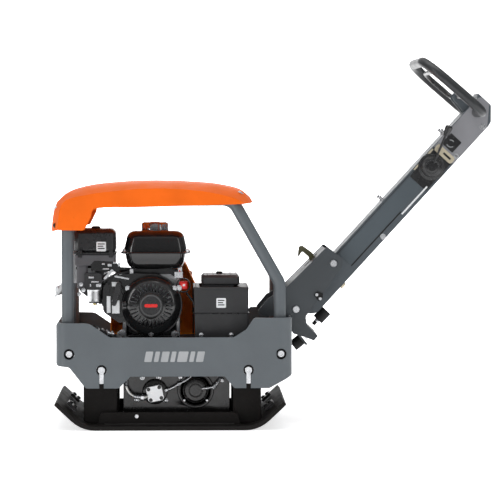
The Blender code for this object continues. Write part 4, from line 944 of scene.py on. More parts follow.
def strap_of(points, width, thick):
    """A flat strap along a path in a YZ plane, wide along X."""
    shape = bmesh.new()
    rings = []
    for index, spot in enumerate(points):
        ahead = points[min(index + 1, len(points) - 1)] - points[max(index - 1, 0)]
        out = ahead.normalized().cross(Vector((1.0, 0.0, 0.0)))
        across = Vector((width / 2.0, 0.0, 0.0))
        rings.append([shape.verts.new(p) for p in (spot - across, spot + across, spot + across + out * thick,
                                                   spot - across + out * thick)])
    for here, after in zip(rings, rings[1:]):
        for i in range(4):
            j = (i + 1) % 4
            shape.faces.new([here[i], here[j], after[j], after[i]])
    shape.faces.new(rings[0])
    shape.faces.new(rings[-1])
    return closed(shape)


# ---- engine ------------------------------------------------------------------------------
CRANK = Vector(JOINTS["crank_spin"]["pos_m"])


def around_crank(radius, degrees, y):
    angle = math.radians(degrees)
    return Vector((CRANK.x + radius * math.cos(angle), y, CRANK.z + radius * math.sin(angle)))


def dress_engine():
    refine("crankcase", CAST, 0.0025, 3)
    refine("carburettor", ENGINE_BLACK, 0.0015, 3)
    refine("muffler", MUFFLER, 0.0016, 3)
    refine("crankshaft", STEEL, 0.0008, 2)
    refine("flywheel", CAST, 0.0006, 1)
    refine("clutch", STEEL, 0.0008, 2)
    dress_cylinder()
    dress_shroud()
    dress_recoil()
    dress_tank()
    dress_intake()
    dress_controls()


def dress_cylinder():
    """Inclined finned barrel with its head, plug and lead."""
    refine("cylinder", CAST, 0.0009, 2)
    root = Vector((-0.14, 0.0, 0.358))
    tilt = Matrix.Translation(root) @ Matrix.Rotation(math.radians(30.0), 4, "Y") @ Matrix.Translation(-root)
    fins = []
    for index in range(8):
        x = root.x - 0.024 - 0.0072 * index
        plate = prism(rectangle(-0.019, 0.313, 0.071, 0.403, 0.008, 4), "X", x - 0.001, x + 0.001)
        bmesh.ops.transform(plate, verts=plate.verts, matrix=tilt)
        fins.append(plate)
    show("cylinder_fins", merge(*fins), CAST, "chassis", 0.0004, 1)
    cover = prism(rectangle(-0.01, 0.326, 0.062, 0.39, 0.012, 6), "X", root.x - 0.088, root.x - 0.077)
    bmesh.ops.transform(cover, verts=cover.verts, matrix=tilt)
    show("rocker_cover", cover, ENGINE_BLACK, "chassis", 0.0025, 3)
    plug = [(0.0, 0.0), (0.0062, 0.0), (0.0062, 0.006), (0.0045, 0.008), (0.0048, 0.012), (0.0078, 0.015),
            (0.0085, 0.026), (0.006, 0.03), (0.0, 0.0305)]
    start = tilt @ Vector((root.x - 0.086, 0.004, 0.372))
    show("plug_boot", aimed(turned(plug, 28), start, (-0.85, -0.35, 0.25)), RUBBER, "chassis")
    end = start + Vector((-0.85, -0.35, 0.25)).normalized() * 0.028
    lead = [end, end + Vector((-0.01, -0.01, 0.012)), (-0.275, -0.05, 0.456), (-0.24, -0.064, 0.46),
            (-0.195, -0.068, 0.456), (-0.15, -0.072, 0.446)]
    show("ignition_lead", bent_tube(lead, 6, 0.0032, 12), RUBBER, "chassis")


def shroud_outline(radius, grow=0.0):
    outline = arc(CRANK.x, CRANK.z, radius + grow, -100, 95, 48)
    corner = round_corners([(CRANK.x - 0.008, CRANK.z + radius + grow), (-0.1, CRANK.z + 0.092 + grow),
                            (-0.16, 0.44 + grow), (-0.196 - grow, 0.405), (-0.196 - grow, 0.332),
                            (-0.15, 0.3 - grow), (-0.136, 0.3 - grow)],
                           [0, 0.03, 0.02, 0.02, 0.02, 0.01, 0], 6)
    outline += corner[1:-1]
    outline += arc(CRANK.x, CRANK.z, radius + grow, 214, 250, 10)
    return outline


def dress_shroud():
    """Blower housing: a drum and a duct to the cylinder, with side plates and screws."""
    shape = prism(shroud_outline(0.0905, -0.0002), "Y", -0.118, -0.0745)
    hollow = aimed(turned([(0.0, 0.0), (0.066, 0.0), (0.066, 0.006), (0.0855, 0.006), (0.0855, 0.06),
                           (0.0, 0.06)], 64),
                   (CRANK.x, -0.119, CRANK.z), (0, 1, 0))
    shape = cut(shape, hollow)
    show("fan_shroud_finished", shape, ENGINE_BLACK, "chassis", 0.0024, 4, 30.0,
         ("fan_shroud",))
    rib = flat_plate([(-0.15, 0.318), (-0.138, 0.31), (-0.134, 0.372), (-0.15, 0.412), (-0.164, 0.418),
                      (-0.176, 0.406), (-0.178, 0.336)], 0.008, 4, -0.1212, SHROUD_FACE)
    show("shroud_panel", rib, ENGINE_BLACK, "chassis", 0.0014, 3)
    plates = [box((-0.185, -0.1226, 0.329), (-0.1735, SHROUD_FACE, 0.378)),
              box((-0.1695, -0.1226, 0.327), (-0.1475, SHROUD_FACE, 0.366)),
              box((-0.17, -0.1226, 0.406), (-0.148, SHROUD_FACE, 0.419))]
    show("shroud_side_plate", merge(*plates), BRIGHT_CAST, "chassis", 0.0008, 2)
    skin = round_corners([(-0.274, 0.408), (-0.264, 0.386), (-0.238, 0.366), (-0.208, 0.354),
                          (-0.178, 0.324), (-0.15, 0.301), (-0.14, 0.306), (-0.175, 0.415)], 0.006, 4)
    show("cylinder_skin", prism(skin, "Y", -0.038, -0.035), ENGINE_BLACK, "chassis", 0.001, 2)
    spots = [(-0.1185, SHROUD_FACE, 0.3965), (0.025, SHROUD_FACE, 0.4015)]
    bolts("shroud_bolts", lambda: hex_bolt(0.0095, 0.0045, 0.0014), spots, (0, -1, 0), ZINC, "chassis")
    feet = [flat_plate([(x - 0.012, 0.2395), (x + 0.012, 0.2395), (x + 0.01, 0.252), (x + 0.004, 0.272),
                        (x - 0.004, 0.272), (x - 0.01, 0.252)], 0.003, 3, -0.11, -0.074)
            for x in (-0.15, 0.02)]
    show("engine_feet", merge(*feet), CAST, "chassis", 0.0012, 2)
    sump = flat_plate([(-0.135, 0.239), (0.03, 0.239), (0.026, 0.262), (-0.12, 0.264)], 0.004, 3, -0.112,
                      -0.074)
    show("engine_sump", sump, ENGINE_BLACK, "chassis", 0.0016, 3)
    bolts("foot_bolts", lambda: hex_bolt(0.012, 0.007, 0.002),
          [(-0.168, -0.1, 0.2384), (0.036, -0.1, 0.2384)],
          (0, 0, 1), ZINC, "chassis")
    bolts("drain_bolts", lambda: hex_bolt(0.012, 0.008, 0.002),
          [(-0.14, -0.112, 0.27), (0.012, -0.112, 0.266)],
          (0, -1, 0), ZINC, "chassis")
    valve = [(0.0, 0.0), (0.0085, 0.0), (0.0085, 0.004), (0.0062, 0.005), (0.0062, 0.016), (0.009, 0.017),
             (0.009, 0.021), (0.0, 0.022)]
    shapes = [aimed(turned(valve, 24), (x, -0.125, z), (dx, -0.5, 0.25))
              for x, z, dx in ((-0.168, 0.268, -0.9), (-0.196, 0.276, -0.8))]
    show("deck_fittings", merge(*shapes), ZINC, "chassis", crease=28.0)
    line = [(-0.225, -0.13, 0.29), (-0.214, -0.134, 0.28), (-0.196, -0.132, 0.274), (-0.176, -0.128, 0.264),
            (-0.16, -0.124, 0.256), (-0.146, -0.118, 0.25)]
    show("deck_hose", bent_tube(line, 6, 0.0062, 14), HOSE_RUBBER, "chassis")


def dress_recoil():
    """Recoil starter cover: domed pressing with a ring of slots, a ringed boss and its badge disc."""
    profile = [(0.0, 0.0), (0.0345, 0.0), (0.036, 0.002), (0.04, 0.0032), (0.06, 0.0054), (0.066, 0.0075),
               (0.072, 0.012), (0.079, 0.0175), (0.0835, 0.0215), (0.086, 0.0265), (0.0868, 0.033),
               (0.084, 0.033), (0.083, 0.0275), (0.08, 0.0235), (0.07, 0.0145), (0.06, 0.0085),
               (0.034, 0.006), (0.0, 0.005)]
    shape = turned(profile, 96)
    shape = aimed(shape, (CRANK.x, -0.1513, CRANK.z), (0, 1, 0))
    blades = []
    for index in range(30):
        slot = box((0.0415, -0.17, -0.002), (0.0635, -0.12, 0.002))
        bmesh.ops.transform(slot, verts=slot.verts, matrix=Matrix.Translation((CRANK.x, 0, CRANK.z))
                            @ Matrix.Rotation(math.radians(12.0 * index), 4, "Y"))
        blades.append(slot)
    shape = cut(shape, merge(*blades))
    show("recoil_cover_finished", shape, ENGINE_BLACK, "chassis", 0.0005, 2, 32.0,
         ("recoil_cover",))
    skirt = turned([(0.0862, 0.0), (0.0888, 0.0), (0.0888, 0.0024), (0.0862, 0.0024)], 96)
    show("recoil_flange", aimed(skirt, (CRANK.x, -0.1206, CRANK.z), (0, 1, 0)), ENGINE_BLACK, "chassis",
         0.0005, 2)
    hub = turned([(0.0, 0.0), (0.03, 0.0), (0.0316, 0.0008), (0.03, 0.0026), (0.0, 0.0026)], 64)
    ring_shape = turned([(0.0275, 0.0), (0.0318, 0.0), (0.0312, 0.0008), (0.0281, 0.0008)], 64)
    show("recoil_badge_disc", aimed(hub, (CRANK.x, -0.15, CRANK.z), (0, -1, 0)), SLEEK_PLASTIC, "chassis")
    show("recoil_badge_ring", aimed(ring_shape, (CRANK.x, -0.1526, CRANK.z), (0, -1, 0)), DIM, "chassis")
    dash = prism(rectangle(CRANK.x - 0.019, CRANK.z - 0.005, CRANK.x + 0.019, CRANK.z + 0.0045, 0.004, 5),
                 "Y",
                 -0.1531, -0.1522)
    show("recoil_badge_mark", dash, RED, "chassis")
    bolts("recoil_bolts", lambda: hex_bolt(0.009, 0.004, 0.0012),
          [around_crank(0.0835, angle, -0.1296) for angle in (36, 144, 270)], (0, -1, 0), ZINC, "chassis")
    refine("starter_grip", SLEEK_PLASTIC, 0.003, 4)
    collar = turned([(0.0, 0.0), (0.0078, 0.0), (0.009, 0.004), (0.007, 0.01), (0.0, 0.0104)], 32)
    show("rope_guide", aimed(collar, (-0.129, -0.1385, 0.356), (-0.72, -0.15, -0.05)), SLEEK_PLASTIC,
         "chassis")
    strand = tube([(-0.15, -0.139, 0.417), (-0.143, -0.136, 0.408), (-0.136, -0.133, 0.398),
                   (-0.13, -0.13, 0.388)], 0.0021, 10)
    made = mesh_object("starter_rope", strand, RUBBER)
    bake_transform(made)


def loft(sections, count=10):
    """Skin rounded rectangles (z, x0, y0, x1, y1, corner radius) stacked upwards."""
    shape = bmesh.new()
    rings = []
    for z, x0, y0, x1, y1, radius in sections:
        rings.append([shape.verts.new((a, b, z)) for a, b in rectangle(x0, y0, x1, y1, radius, count)])
    for here, after in zip(rings, rings[1:]):
        for i in range(len(here)):
            j = (i + 1) % len(here)
            shape.faces.new([here[i], here[j], after[j], after[i]])
    shape.faces.new(rings[0])
    shape.faces.new(rings[-1])
    return closed(shape)


def domed(low, high, corner, drop, top, steps=8):
    """Sections of a shell whose rim curves over: low is ((x0, y0, x1, y1), z) and high is (inset, z)."""
    box_xy, z0 = low
    inset, z1 = high
    out = []
    for step in range(steps + 1):
        angle = math.pi / 2.0 * step / steps
        move = inset * (1.0 - math.cos(angle))
        z = z0 + (z1 - z0) * math.sin(angle)
        x0, y0, x1, y1 = box_xy
        out.append((z, x0 + move, y0 + move, x1 - move, y1 - move, max(corner - move * drop, 0.012)))
    return out + top


def dress_tank():
    """Enamelled fuel tank with a rolled seam, and its twist cap."""
    upper = [(0.504, -0.1345, -0.118, 0.048, 0.09, 0.034), (0.512, -0.134, -0.1175, 0.0475, 0.0895, 0.034)]
    upper += [(0.526, -0.132, -0.116, 0.0455, 0.088, 0.034)]
    upper += domed(((-0.128, -0.114, 0.0415, 0.086), 0.542), (0.026, 0.5665), 0.034, 0.2,
                   [(0.568, -0.09, -0.074, 0.003, 0.046, 0.024)])
    lower = [(0.502, -0.131, -0.115, 0.044, 0.087, 0.032), (0.49, -0.13, -0.114, 0.043, 0.086, 0.032),
             (0.474, -0.127, -0.111, 0.04, 0.083, 0.032), (0.464, -0.122, -0.106, 0.035, 0.078, 0.03),
             (0.457, -0.112, -0.096, 0.025, 0.068, 0.028), (0.454, -0.098, -0.082, 0.011, 0.054, 0.024)]
    seam = prism(rectangle(-0.142, -0.126, 0.055, 0.098, 0.034, 10), "Z", 0.501, 0.505)
    neck = turned([(0.0262, 0.56), (0.0335, 0.56), (0.033, 0.564), (0.0312, 0.566), (0.0312, 0.576),
                   (0.0262, 0.576)], 48)
    bmesh.ops.translate(neck, verts=neck.verts, vec=(*CAP_PLACE, 0.0))
    show("fuel_tank_finished", merge(loft(upper), loft(lower[::-1])), ENGINE_BLACK, "chassis",
         0.0,
         2, 50.0, ("fuel_tank",))
    show("tank_seam", merge(seam, neck), ENGINE_BLACK, "chassis", 0.0008, 2)
    collar = turned([(0.0312, 0.5655), (0.042, 0.5655), (0.041, 0.568), (0.0312, 0.569)], 48)
    bmesh.ops.translate(collar, verts=collar.verts, vec=(*CAP_PLACE, 0.0))
    show("tank_collar", collar, ENGINE_BLACK, "chassis", 0.0005, 2)
    lip = [(-0.142, -0.126), (0.055, -0.126), (0.055, 0.098), (-0.142, 0.098)]
    path = [Vector((a, b, 0.503)) for a, b in round_corners(lip, 0.034, 10)]
    show("tank_seam_roll", tube(path, 0.0026, 10, loop=True), ENGINE_BLACK, "chassis")
    bolts("tank_bolts", lambda: hex_bolt(0.011, 0.006, 0.0014), [(0.05, -0.118, 0.506)], (0.0, -0.2, 0.98),
          ZINC,
          "chassis")
    bolts("tank_seam_bolts", lambda: hex_bolt(0.01, 0.005, 0.0014),
          [(-0.1335, y, 0.5056) for y in (-0.102, 0.076)], (0, 0, 1), ZINC, "chassis")
    shape = turned([(0.0, 0.0), (0.0378, 0.0), (0.0393, 0.0022), (0.0393, 0.017), (0.038, 0.021),
                    (0.033, 0.0235), (0.015, 0.0228), (0.013, 0.0218), (0.0, 0.0218)], 96)
    grooves = []
    for index in range(24):
        notch = turned([(0.0, -0.003), (0.0026, -0.003), (0.0026, 0.03), (0.0, 0.03)], 12)
        angle = 2.0 * math.pi * index / 24.0
        bmesh.ops.translate(notch, verts=notch.verts, vec=(0.0408 * math.cos(angle), 0.0408 * math.sin(angle),
                                                           0.0))
        grooves.append(notch)
    shape = cut(shape, merge(*grooves))
    bmesh.ops.translate(shape, verts=shape.verts, vec=(*CAP_PLACE, 0.5664))
    show("fuel_cap_finished", shape, CHROME, "fuel_cap", 0.0005, 2, 30.0, ("fuel_cap",))
    cowl = flat_plate([(-0.16, 0.438), (0.02, 0.42), (0.026, 0.453), (-0.15, 0.46)], 0.006, 4, -0.073, -0.07)
    show("engine_cowl", cowl, ENGINE_BLACK, "chassis", 0.001, 2)
    bracket = [box((-0.118, -0.11, 0.44), (-0.108, -0.076, 0.456)),
               box((0.022, -0.11, 0.43), (0.034, -0.076, 0.46)),
               box((0.012, -0.116, 0.43), (0.036, -0.112, 0.448))]
    show("tank_brackets", merge(*bracket), ZINC, "chassis", 0.0008, 2)


def dress_intake():
    """Air cleaner, carburettor linkage, choke and muffler deflector."""
    refine("air_cleaner_base", AIRBOX, 0.003, 4)
    refine("air_cleaner_cover", SLEEK_PLASTIC, 0.006, 5, 40.0)
    low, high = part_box("air_cleaner_cover")
    seam = prism(rectangle(low.x - 0.0012, low.y - 0.0012, high.x + 0.0012, high.y + 0.0012, 0.011, 6), "Z",
                 low.z - 0.001, low.z + 0.0036)
    hole = prism(rectangle(low.x + 0.004, low.y + 0.004, high.x - 0.004, high.y - 0.004, 0.009, 6), "Z",
                 low.z - 0.01, low.z + 0.02)
    show("air_cleaner_lip", cut(seam, hole), SLEEK_PLASTIC, "chassis", 0.0008, 2)
    label = prism(rectangle(-0.2145, 0.508, -0.1865, 0.536, 0.003, 4), "Y", low.y - 0.0006, low.y + 0.0004)
    show("air_cleaner_label", label, LABEL, "chassis")
    bars = [prism(rectangle(-0.2105, 0.528 - i * 0.0065, -0.1905 - 0.004 * (i % 2), 0.531 - i * 0.0065), "Y",
                  low.y - 0.0008, low.y) for i in range(3)]
    show("air_cleaner_label_bars", merge(*bars), PLASTIC, "chassis")
    clips = [box((x - 0.006, low.y - 0.0032, 0.49), (x + 0.006, low.y - 0.0004, 0.512)) for x in (-0.262,
                                                            -0.172)]
    show("air_cleaner_clips", merge(*clips), SLEEK_PLASTIC, "chassis", 0.001, 2)
    knob = turned([(0.0, 0.0), (0.0125, 0.0), (0.0135, 0.002), (0.0128, 0.0055), (0.0085, 0.007),
                   (0.0, 0.0072)], 40)
    show("air_cleaner_knob", aimed(knob, (-0.218, -0.054, 0.5722), (0, 0, 1)), PLASTIC, "chassis")

    cover = round_corners([(-0.25, 0.396), (-0.2, 0.396), (-0.197, 0.44), (-0.206, 0.445),
                           (-0.25, 0.445)], 0.004, 3)
    show("carburettor_cover", prism(cover, "Y", -0.112, -0.1065), PLASTIC, "chassis", 0.0015,
         3)
    clamp = [box((-0.238, -0.115, 0.429), (-0.222, -0.1115, 0.435)),
             box((-0.23, -0.116, 0.417), (-0.208, -0.1115, 0.4215)),
             box((-0.234, -0.115, 0.405), (-0.23, -0.1115, 0.413)),
             box((-0.216, -0.115, 0.404), (-0.209, -0.1115, 0.413))]
    show("carburettor_clips", merge(*clamp), ZINC, "chassis", 0.001, 2)
    knobs = [turned([(0.0, 0.0), (0.0062, 0.0), (0.0062, 0.003), (0.0, 0.0034)], 28) for _ in range(3)]
    spots = [(-0.253, -0.112, 0.3955), (-0.265, -0.106, 0.383), (-0.26, -0.108, 0.412)]
    show("carburettor_screws", merge(*[aimed(k, spot, (0, -1, 0)) for k, spot in zip(knobs, spots)]), ZINC,
         "chassis")
    small = [box((-0.199, -0.1205, 0.469), (-0.19, -0.117, 0.474)),
             box((-0.182, -0.1205, 0.464), (-0.17, -0.117, 0.472)),
             box((-0.166, -0.1205, 0.472), (-0.156, -0.117, 0.478)),
             box((-0.196, -0.1205, 0.455), (-0.178, -0.117, 0.459)),
             box((-0.152, -0.1205, 0.464), (-0.146, -0.117, 0.476))]
    show("linkage_clips", merge(*small), ZINC, "chassis", 0.0012, 2)
    plate = round_corners([(-0.23, 0.452), (-0.15, 0.448), (-0.144, 0.462), (-0.16, 0.478),
                           (-0.22, 0.481), (-0.23, 0.47)], 0.003, 3)
    show("throttle_bracket", prism(plate, "Y", -0.1185, -0.1165), ENGINE_BLACK, "chassis",
         0.0005, 1)
    lever = round_corners([(-0.196, 0.428), (-0.188, 0.426), (-0.164, 0.452), (-0.17, 0.457)], 0.0025, 3)
    show("governor_lever", prism(lever, "Y", -0.121, -0.1194), ZINC, "chassis", 0.0004, 1)
    rod_path = [(-0.198, -0.109, 0.422), (-0.185, -0.113, 0.43), (-0.166, -0.118, 0.437),
                (-0.14, -0.119, 0.442)]
    show("governor_rod", bent_tube(rod_path, 5, 0.0013, 8), ZINC, "chassis")
    show("governor_spring", helix((-0.193, -0.115, 0.444), (1.0, -0.05, 0.25), 0.003, 0.0006, 12, 0.03), ZINC,
         "chassis")
    bar = flat_plate([(-0.163, 0.433), (-0.12, 0.425), (-0.119, 0.43), (-0.162, 0.4385)], 0.0015, 2, -0.1216,
                     SHROUD_FACE)
    show("shroud_bar", bar, ZINC, "chassis", 0.0005, 1)
    profile = [(0.0, 0.0), (0.0165, 0.0), (0.0195, 0.0025), (0.0212, 0.006), (0.0212, 0.033),
               (0.0222, 0.0345),
               (0.0222, 0.04), (0.0, 0.04)]
    show("float_bowl", aimed(turned(profile, 48), (-0.22, -0.092, 0.356), (0, 0, 1)), BRIGHT_CAST, "chassis",
         0.0004, 1)
    bolts("bowl_bolt", lambda: hex_bolt(0.01, 0.005, 0.0012), [(-0.22, -0.092, 0.356)], (0, 0, -1), BRASS,
          "chassis")
    hose = [(-0.201, -0.0985, 0.403), (-0.188, -0.1075, 0.406), (-0.1795, -0.117, 0.414),
            (-0.174, -0.1215, 0.43),
            (-0.156, -0.1225, 0.443), (-0.133, -0.118, 0.446), (-0.117, -0.102, 0.45)]
    show("fuel_line", bent_tube(hose, 6, 0.0033, 12), HOSE_RUBBER, "chassis")
    refine("choke_lever", SLEEK_PLASTIC, 0.0008, 2)
    tip = turned([(0.0, 0.0), (0.0048, 0.0), (0.0048, 0.002), (0.0, 0.0022)], 24)
    show("choke_pivot", aimed(tip, (-0.206, -0.1104, 0.409), (0, -1, 0)), ZINC, "choke")

    guard = prism(rectangle(-0.3165, 0.41, -0.2065, 0.4965, 0.016, 6), "Y", 0.0145, 0.0185)
    slots = [box((x, 0.01, 0.424), (x + 0.0042, 0.022,
                                    0.482)) for x in [-0.305 + 0.0105 * i for i in range(9)]]
    show("muffler_guard", cut(guard, merge(*slots)), MUFFLER, "chassis", 0.0006, 2)
    hood_shape = flat_plate([(-0.322, 0.412), (-0.312, 0.416), (-0.326, 0.379), (-0.342, 0.364),
                             (-0.344, 0.369), (-0.333, 0.384)], 0.0018, 2, 0.03, 0.078)
    show("muffler_deflector", hood_shape, BRIGHT_CAST, "chassis", 0.0007, 2)


def dress_controls():
    """Engine switch and its cable."""
    refine("engine_switch", RED, 0.0015, 3)
    place = JOINTS["engine_switch_turn"]["pos_m"]
    flange = [(0.0, 0.0), (0.0208, 0.0), (0.0208, 0.017), (0.0, 0.017)]
    well = [(0.0, -0.002), (0.0184, -0.002), (0.0184, 0.019), (0.0, 0.019)]
    bezel = cut(aimed(turned(flange, 48), (place[0], -0.089, place[2]), (0, -1, 0)),
                aimed(turned(well, 48), (place[0], -0.089, place[2]), (0, -1, 0)))
    show("switch_bezel", bezel, PLASTIC, "chassis", 0.0006, 2)
    mark = disc(0.0036, 0.0004, 24)
    show("switch_dot", aimed(mark, (0.0395, -0.118, 0.4095), (0, -1, 0)), LABEL, "engine_switch")
    cable = [(0.047, -0.096, 0.3905), (0.05, -0.1, 0.382), (0.056, -0.104, 0.374), (0.066, -0.106, 0.362),
             (0.0685, -0.108, 0.35)]
    show("switch_cable", bent_tube(cable, 6, 0.0032, 12), SLEEK_PLASTIC, "chassis")
    wires = [[(0.029, -0.098, 0.4262), (0.024, -0.106, 0.44), (0.018, -0.108, 0.452)],
             [(0.036, -0.098, 0.4275), (0.033, -0.108, 0.44), (0.026, -0.11, 0.452)]]
    for index, wire in enumerate(wires):
        show(f"switch_wire_{index}", bent_tube(wire, 5, 0.0016, 10), RED if index else SLEEK_PLASTIC,
             "chassis")


# ---- belt drive and battery box ----------------------------------------------------------
def dress_drive():
    """Shafts, gears, pulley, belt and belt cover."""
    for end in ("front", "rear"):
        refine(f"eccentric_shaft_{end}", STEEL, 0.0008, 2)
        refine(f"timing_gear_{end}", STEEL, 0.0004, 1)
    refine("exciter_pulley", CAST, 0.0008, 2)
    # The belt guard and its panel take the lightened orange: painted light.
    refine("belt_guard", LIT_GUARD_ORANGE, 0.0035, 4)
    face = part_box("belt_guard")[1].y
    dimple = flat_plate([(-0.155, 0.262), (0.052, 0.262), (0.052, 0.352), (0.018, 0.432), (-0.128, 0.432),
                         (-0.155, 0.368)], 0.016, 5, face - 0.0005, face + 0.0022)
    show("belt_guard_panel", dimple, LIT_GUARD_ORANGE, "chassis", 0.0016, 3)
    slots = [flat_plate([(x, 0.372), (x + 0.009, 0.372), (x + 0.009, 0.412), (x, 0.412)], 0.0042, 5,
                        face + 0.002, face + 0.0027) for x in [-0.104 + 0.018 * i for i in range(6)]]
    show("belt_guard_vents", merge(*slots), PLASTIC, "chassis")
    bolts("belt_guard_bolts", lambda: hex_bolt(0.011, 0.005, 0.0016),
          [(x, face, z) for x, z in ((-0.175, 0.252), (0.072, 0.252), (0.056, 0.425), (-0.16, 0.425))],
          (0, 1, 0),
          ZINC, "chassis")
    made = mesh_object("v_belt_finished", node_shape("v_belt"), RUBBER, 35.0)
    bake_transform(made)
    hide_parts("v_belt")


def dress_box():
    """Battery box with a ribbed lid."""
    refine("battery_box", PLASTIC, 0.0035, 4)
    refine("battery_lid", PLASTIC, 0.004, 4, 40.0)
    low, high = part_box("battery_box")
    seam = [(low.x - 0.0008, low.y - 0.0008), (high.x + 0.0002, low.y - 0.0008),
            (high.x + 0.0002, high.y + 0.0008),
            (low.x - 0.0008, high.y + 0.0008)]
    path = [Vector((a, b, 0.33)) for a, b in round_corners(seam, 0.005, 4)]
    show("battery_box_seam", tube(path, 0.0018, 8, loop=True), SLEEK_PLASTIC, "chassis")
    rim = prism(rectangle(low.x - 0.0016, low.y - 0.0016, high.x + 0.0006, high.y + 0.0016, 0.009, 6), "Z",
                0.3985, 0.4058)
    rim = cut(rim, prism(rectangle(low.x + 0.004, low.y + 0.004, high.x - 0.004, high.y - 0.004, 0.006, 6),
                         "Z", 0.39, 0.41))
    show("battery_box_rim", rim, PLASTIC, "chassis", 0.001, 2)
    label = prism(rectangle(0.133, 0.346, 0.161, 0.374, 0.003, 4), "Y", low.y - 0.0006, low.y + 0.0004)
    show("battery_label", label, LABEL, "chassis")
    bars = [prism(rectangle(0.1375, 0.366 - i * 0.0065, 0.1565 - 0.004 * (i % 2), 0.369 - i * 0.0065), "Y",
                  low.y - 0.0008, low.y) for i in range(3)]
    show("battery_label_bars", merge(*bars), PLASTIC, "chassis")
    bolts("battery_box_bolts", lambda: dome_bolt(0.005, 0.0034, 0.0012),
          [(0.089, low.y, 0.267), (0.176, low.y, 0.267)],
          (0, -1, 0), ZINC, "chassis")
    profile = [(0.0, 0.0), (0.0078, 0.0), (0.0092, 0.0012), (0.0092, 0.006), (0.007, 0.008), (0.0, 0.0084)]
    show("battery_lid_knob", aimed(turned(profile, 40), (0.143, -0.055, 0.4385), (0, 0, 1)), SLEEK_PLASTIC,
         "chassis")
    ribs = [box((0.106 + 0.017 * i, -0.118, 0.438), (0.109 + 0.017 * i, 0.008, 0.4402)) for i in range(6)]
    show("battery_lid_ribs", merge(*ribs), PLASTIC, "chassis", 0.0008, 2)
    show("battery_strap", box((0.0665 - 0.0018, -0.03 - 0.012, 0.262), (0.0665 + 0.0018, -0.03 + 0.012, 0.4)),
         RUBBER, "chassis", 0.0006, 2)


# ---- hitch, drawbar and handle -----------------------------------------------------------
ARM_PIVOT = JOINTS["drawbar_height"]["pos_m"]
ARM_ANGLE = math.radians(47.5)
ARM_HALF = 0.055


def arm_point(along, over, y=0.0):
    """A point given along and over the drawbar's axis, from its pivot."""
    c, s = math.cos(ARM_ANGLE), math.sin(ARM_ANGLE)
    return Vector((ARM_PIVOT[0] + along * c - over * s, y, ARM_PIVOT[2] + along * s + over * c))


ARM_OVER = arm_point(0.0, 1.0) - arm_point(0.0, 0.0)


def arm_prism(outline, low, high, holes=()):
    def place(points):
        return [(arm_point(a, b).x, arm_point(a, b).z) for a, b in points]
    return prism(place(outline), "Y", min(low, high), max(low, high), holes=[place(hole) for hole in holes])


def arm_box(along, over, y):
    """A block given by its ranges along and over the drawbar and across it."""
    corners = [(along[0], over[0]), (along[1], over[0]), (along[1], over[1]), (along[0], over[1])]
    return arm_prism(corners, *y)


def dress_hitch():
    """Folding hitch with its pins, clamps, bolts, stops and hook."""
    refine("hitch", HITCH, 0.0011, 3)
    for node in ("fold_pin", "arm_pin"):
        low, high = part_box(node)
        centre = (low + high) / 2.0
        heads = []
        for side in (LEFT, RIGHT):
            seat = (centre.x, side * 0.1003, centre.z)
            heads.append(aimed(hex_bolt(0.0185, 0.0062), seat, (0, side, 0), 0.4))
        shank = turned([(0.0, -0.1), (0.01, -0.1), (0.01, 0.1), (0.0, 0.1)], 40)
        heads.append(aimed(shank, (centre.x, 0.0, centre.z), (0, 1, 0)))
        show(node + "_finished", merge(*heads), ZINC, BODY_OF[node], 0.0004, 1, 28.0, (node,))
    clamps, screws = [], []
    outline = round_corners([(0.418, 0.379), (0.429, 0.39), (0.446, 0.383), (0.444, 0.37), (0.433, 0.36)],
                            0.004, 4)
    for side in (LEFT, RIGHT):
        faces = sorted((side * 0.1002, side * 0.1042))
        clamps.append(prism(outline, "Y", *faces))
        for x, z in ((0.427, 0.38), (0.4365, 0.3685)):
            screws.append(aimed(hex_bolt(0.0085, 0.004), (x, side * 0.1042, z), (0, side, 0), 0.2))
    show("hitch_clamps", merge(*clamps), RUBBER, "hitch", 0.0008, 2)
    show("hitch_clamp_bolts", merge(*screws), ZINC, "hitch", crease=28.0)
    refine("stop_buffer", RUBBER, 0.002, 3)
    stop = Vector((0.396, -0.04, 0.249))
    nut = aimed(hex_bolt(0.012, 0.006, 0.0008), stop, (0.78, 0.0, 0.63), 0.3)
    show("stop_nut", nut, ZINC, "hitch", crease=28.0)
    refine("transport_hook", OLIVE, 0.0012, 3)


def dress_adjuster():
    """Height adjuster buffer under the drawbar with its threaded stud and nuts."""
    refine("arm_buffer", RUBBER, 0.0012, 3)
    aim = Vector((-0.69, 0.0, -0.724)).normalized()
    foot = Vector((0.461, 0.0, 0.327)) + aim * 0.0335
    nuts = []
    for step in (0.000, 0.0065):
        nuts.append(aimed(hex_bolt(0.014, 0.0052, 0.0004), foot + aim * step, aim, 0.3 + step * 40.0))
    show("adjuster_nuts", merge(*nuts), ZINC, BODY_OF["arm_buffer"], crease=28.0)


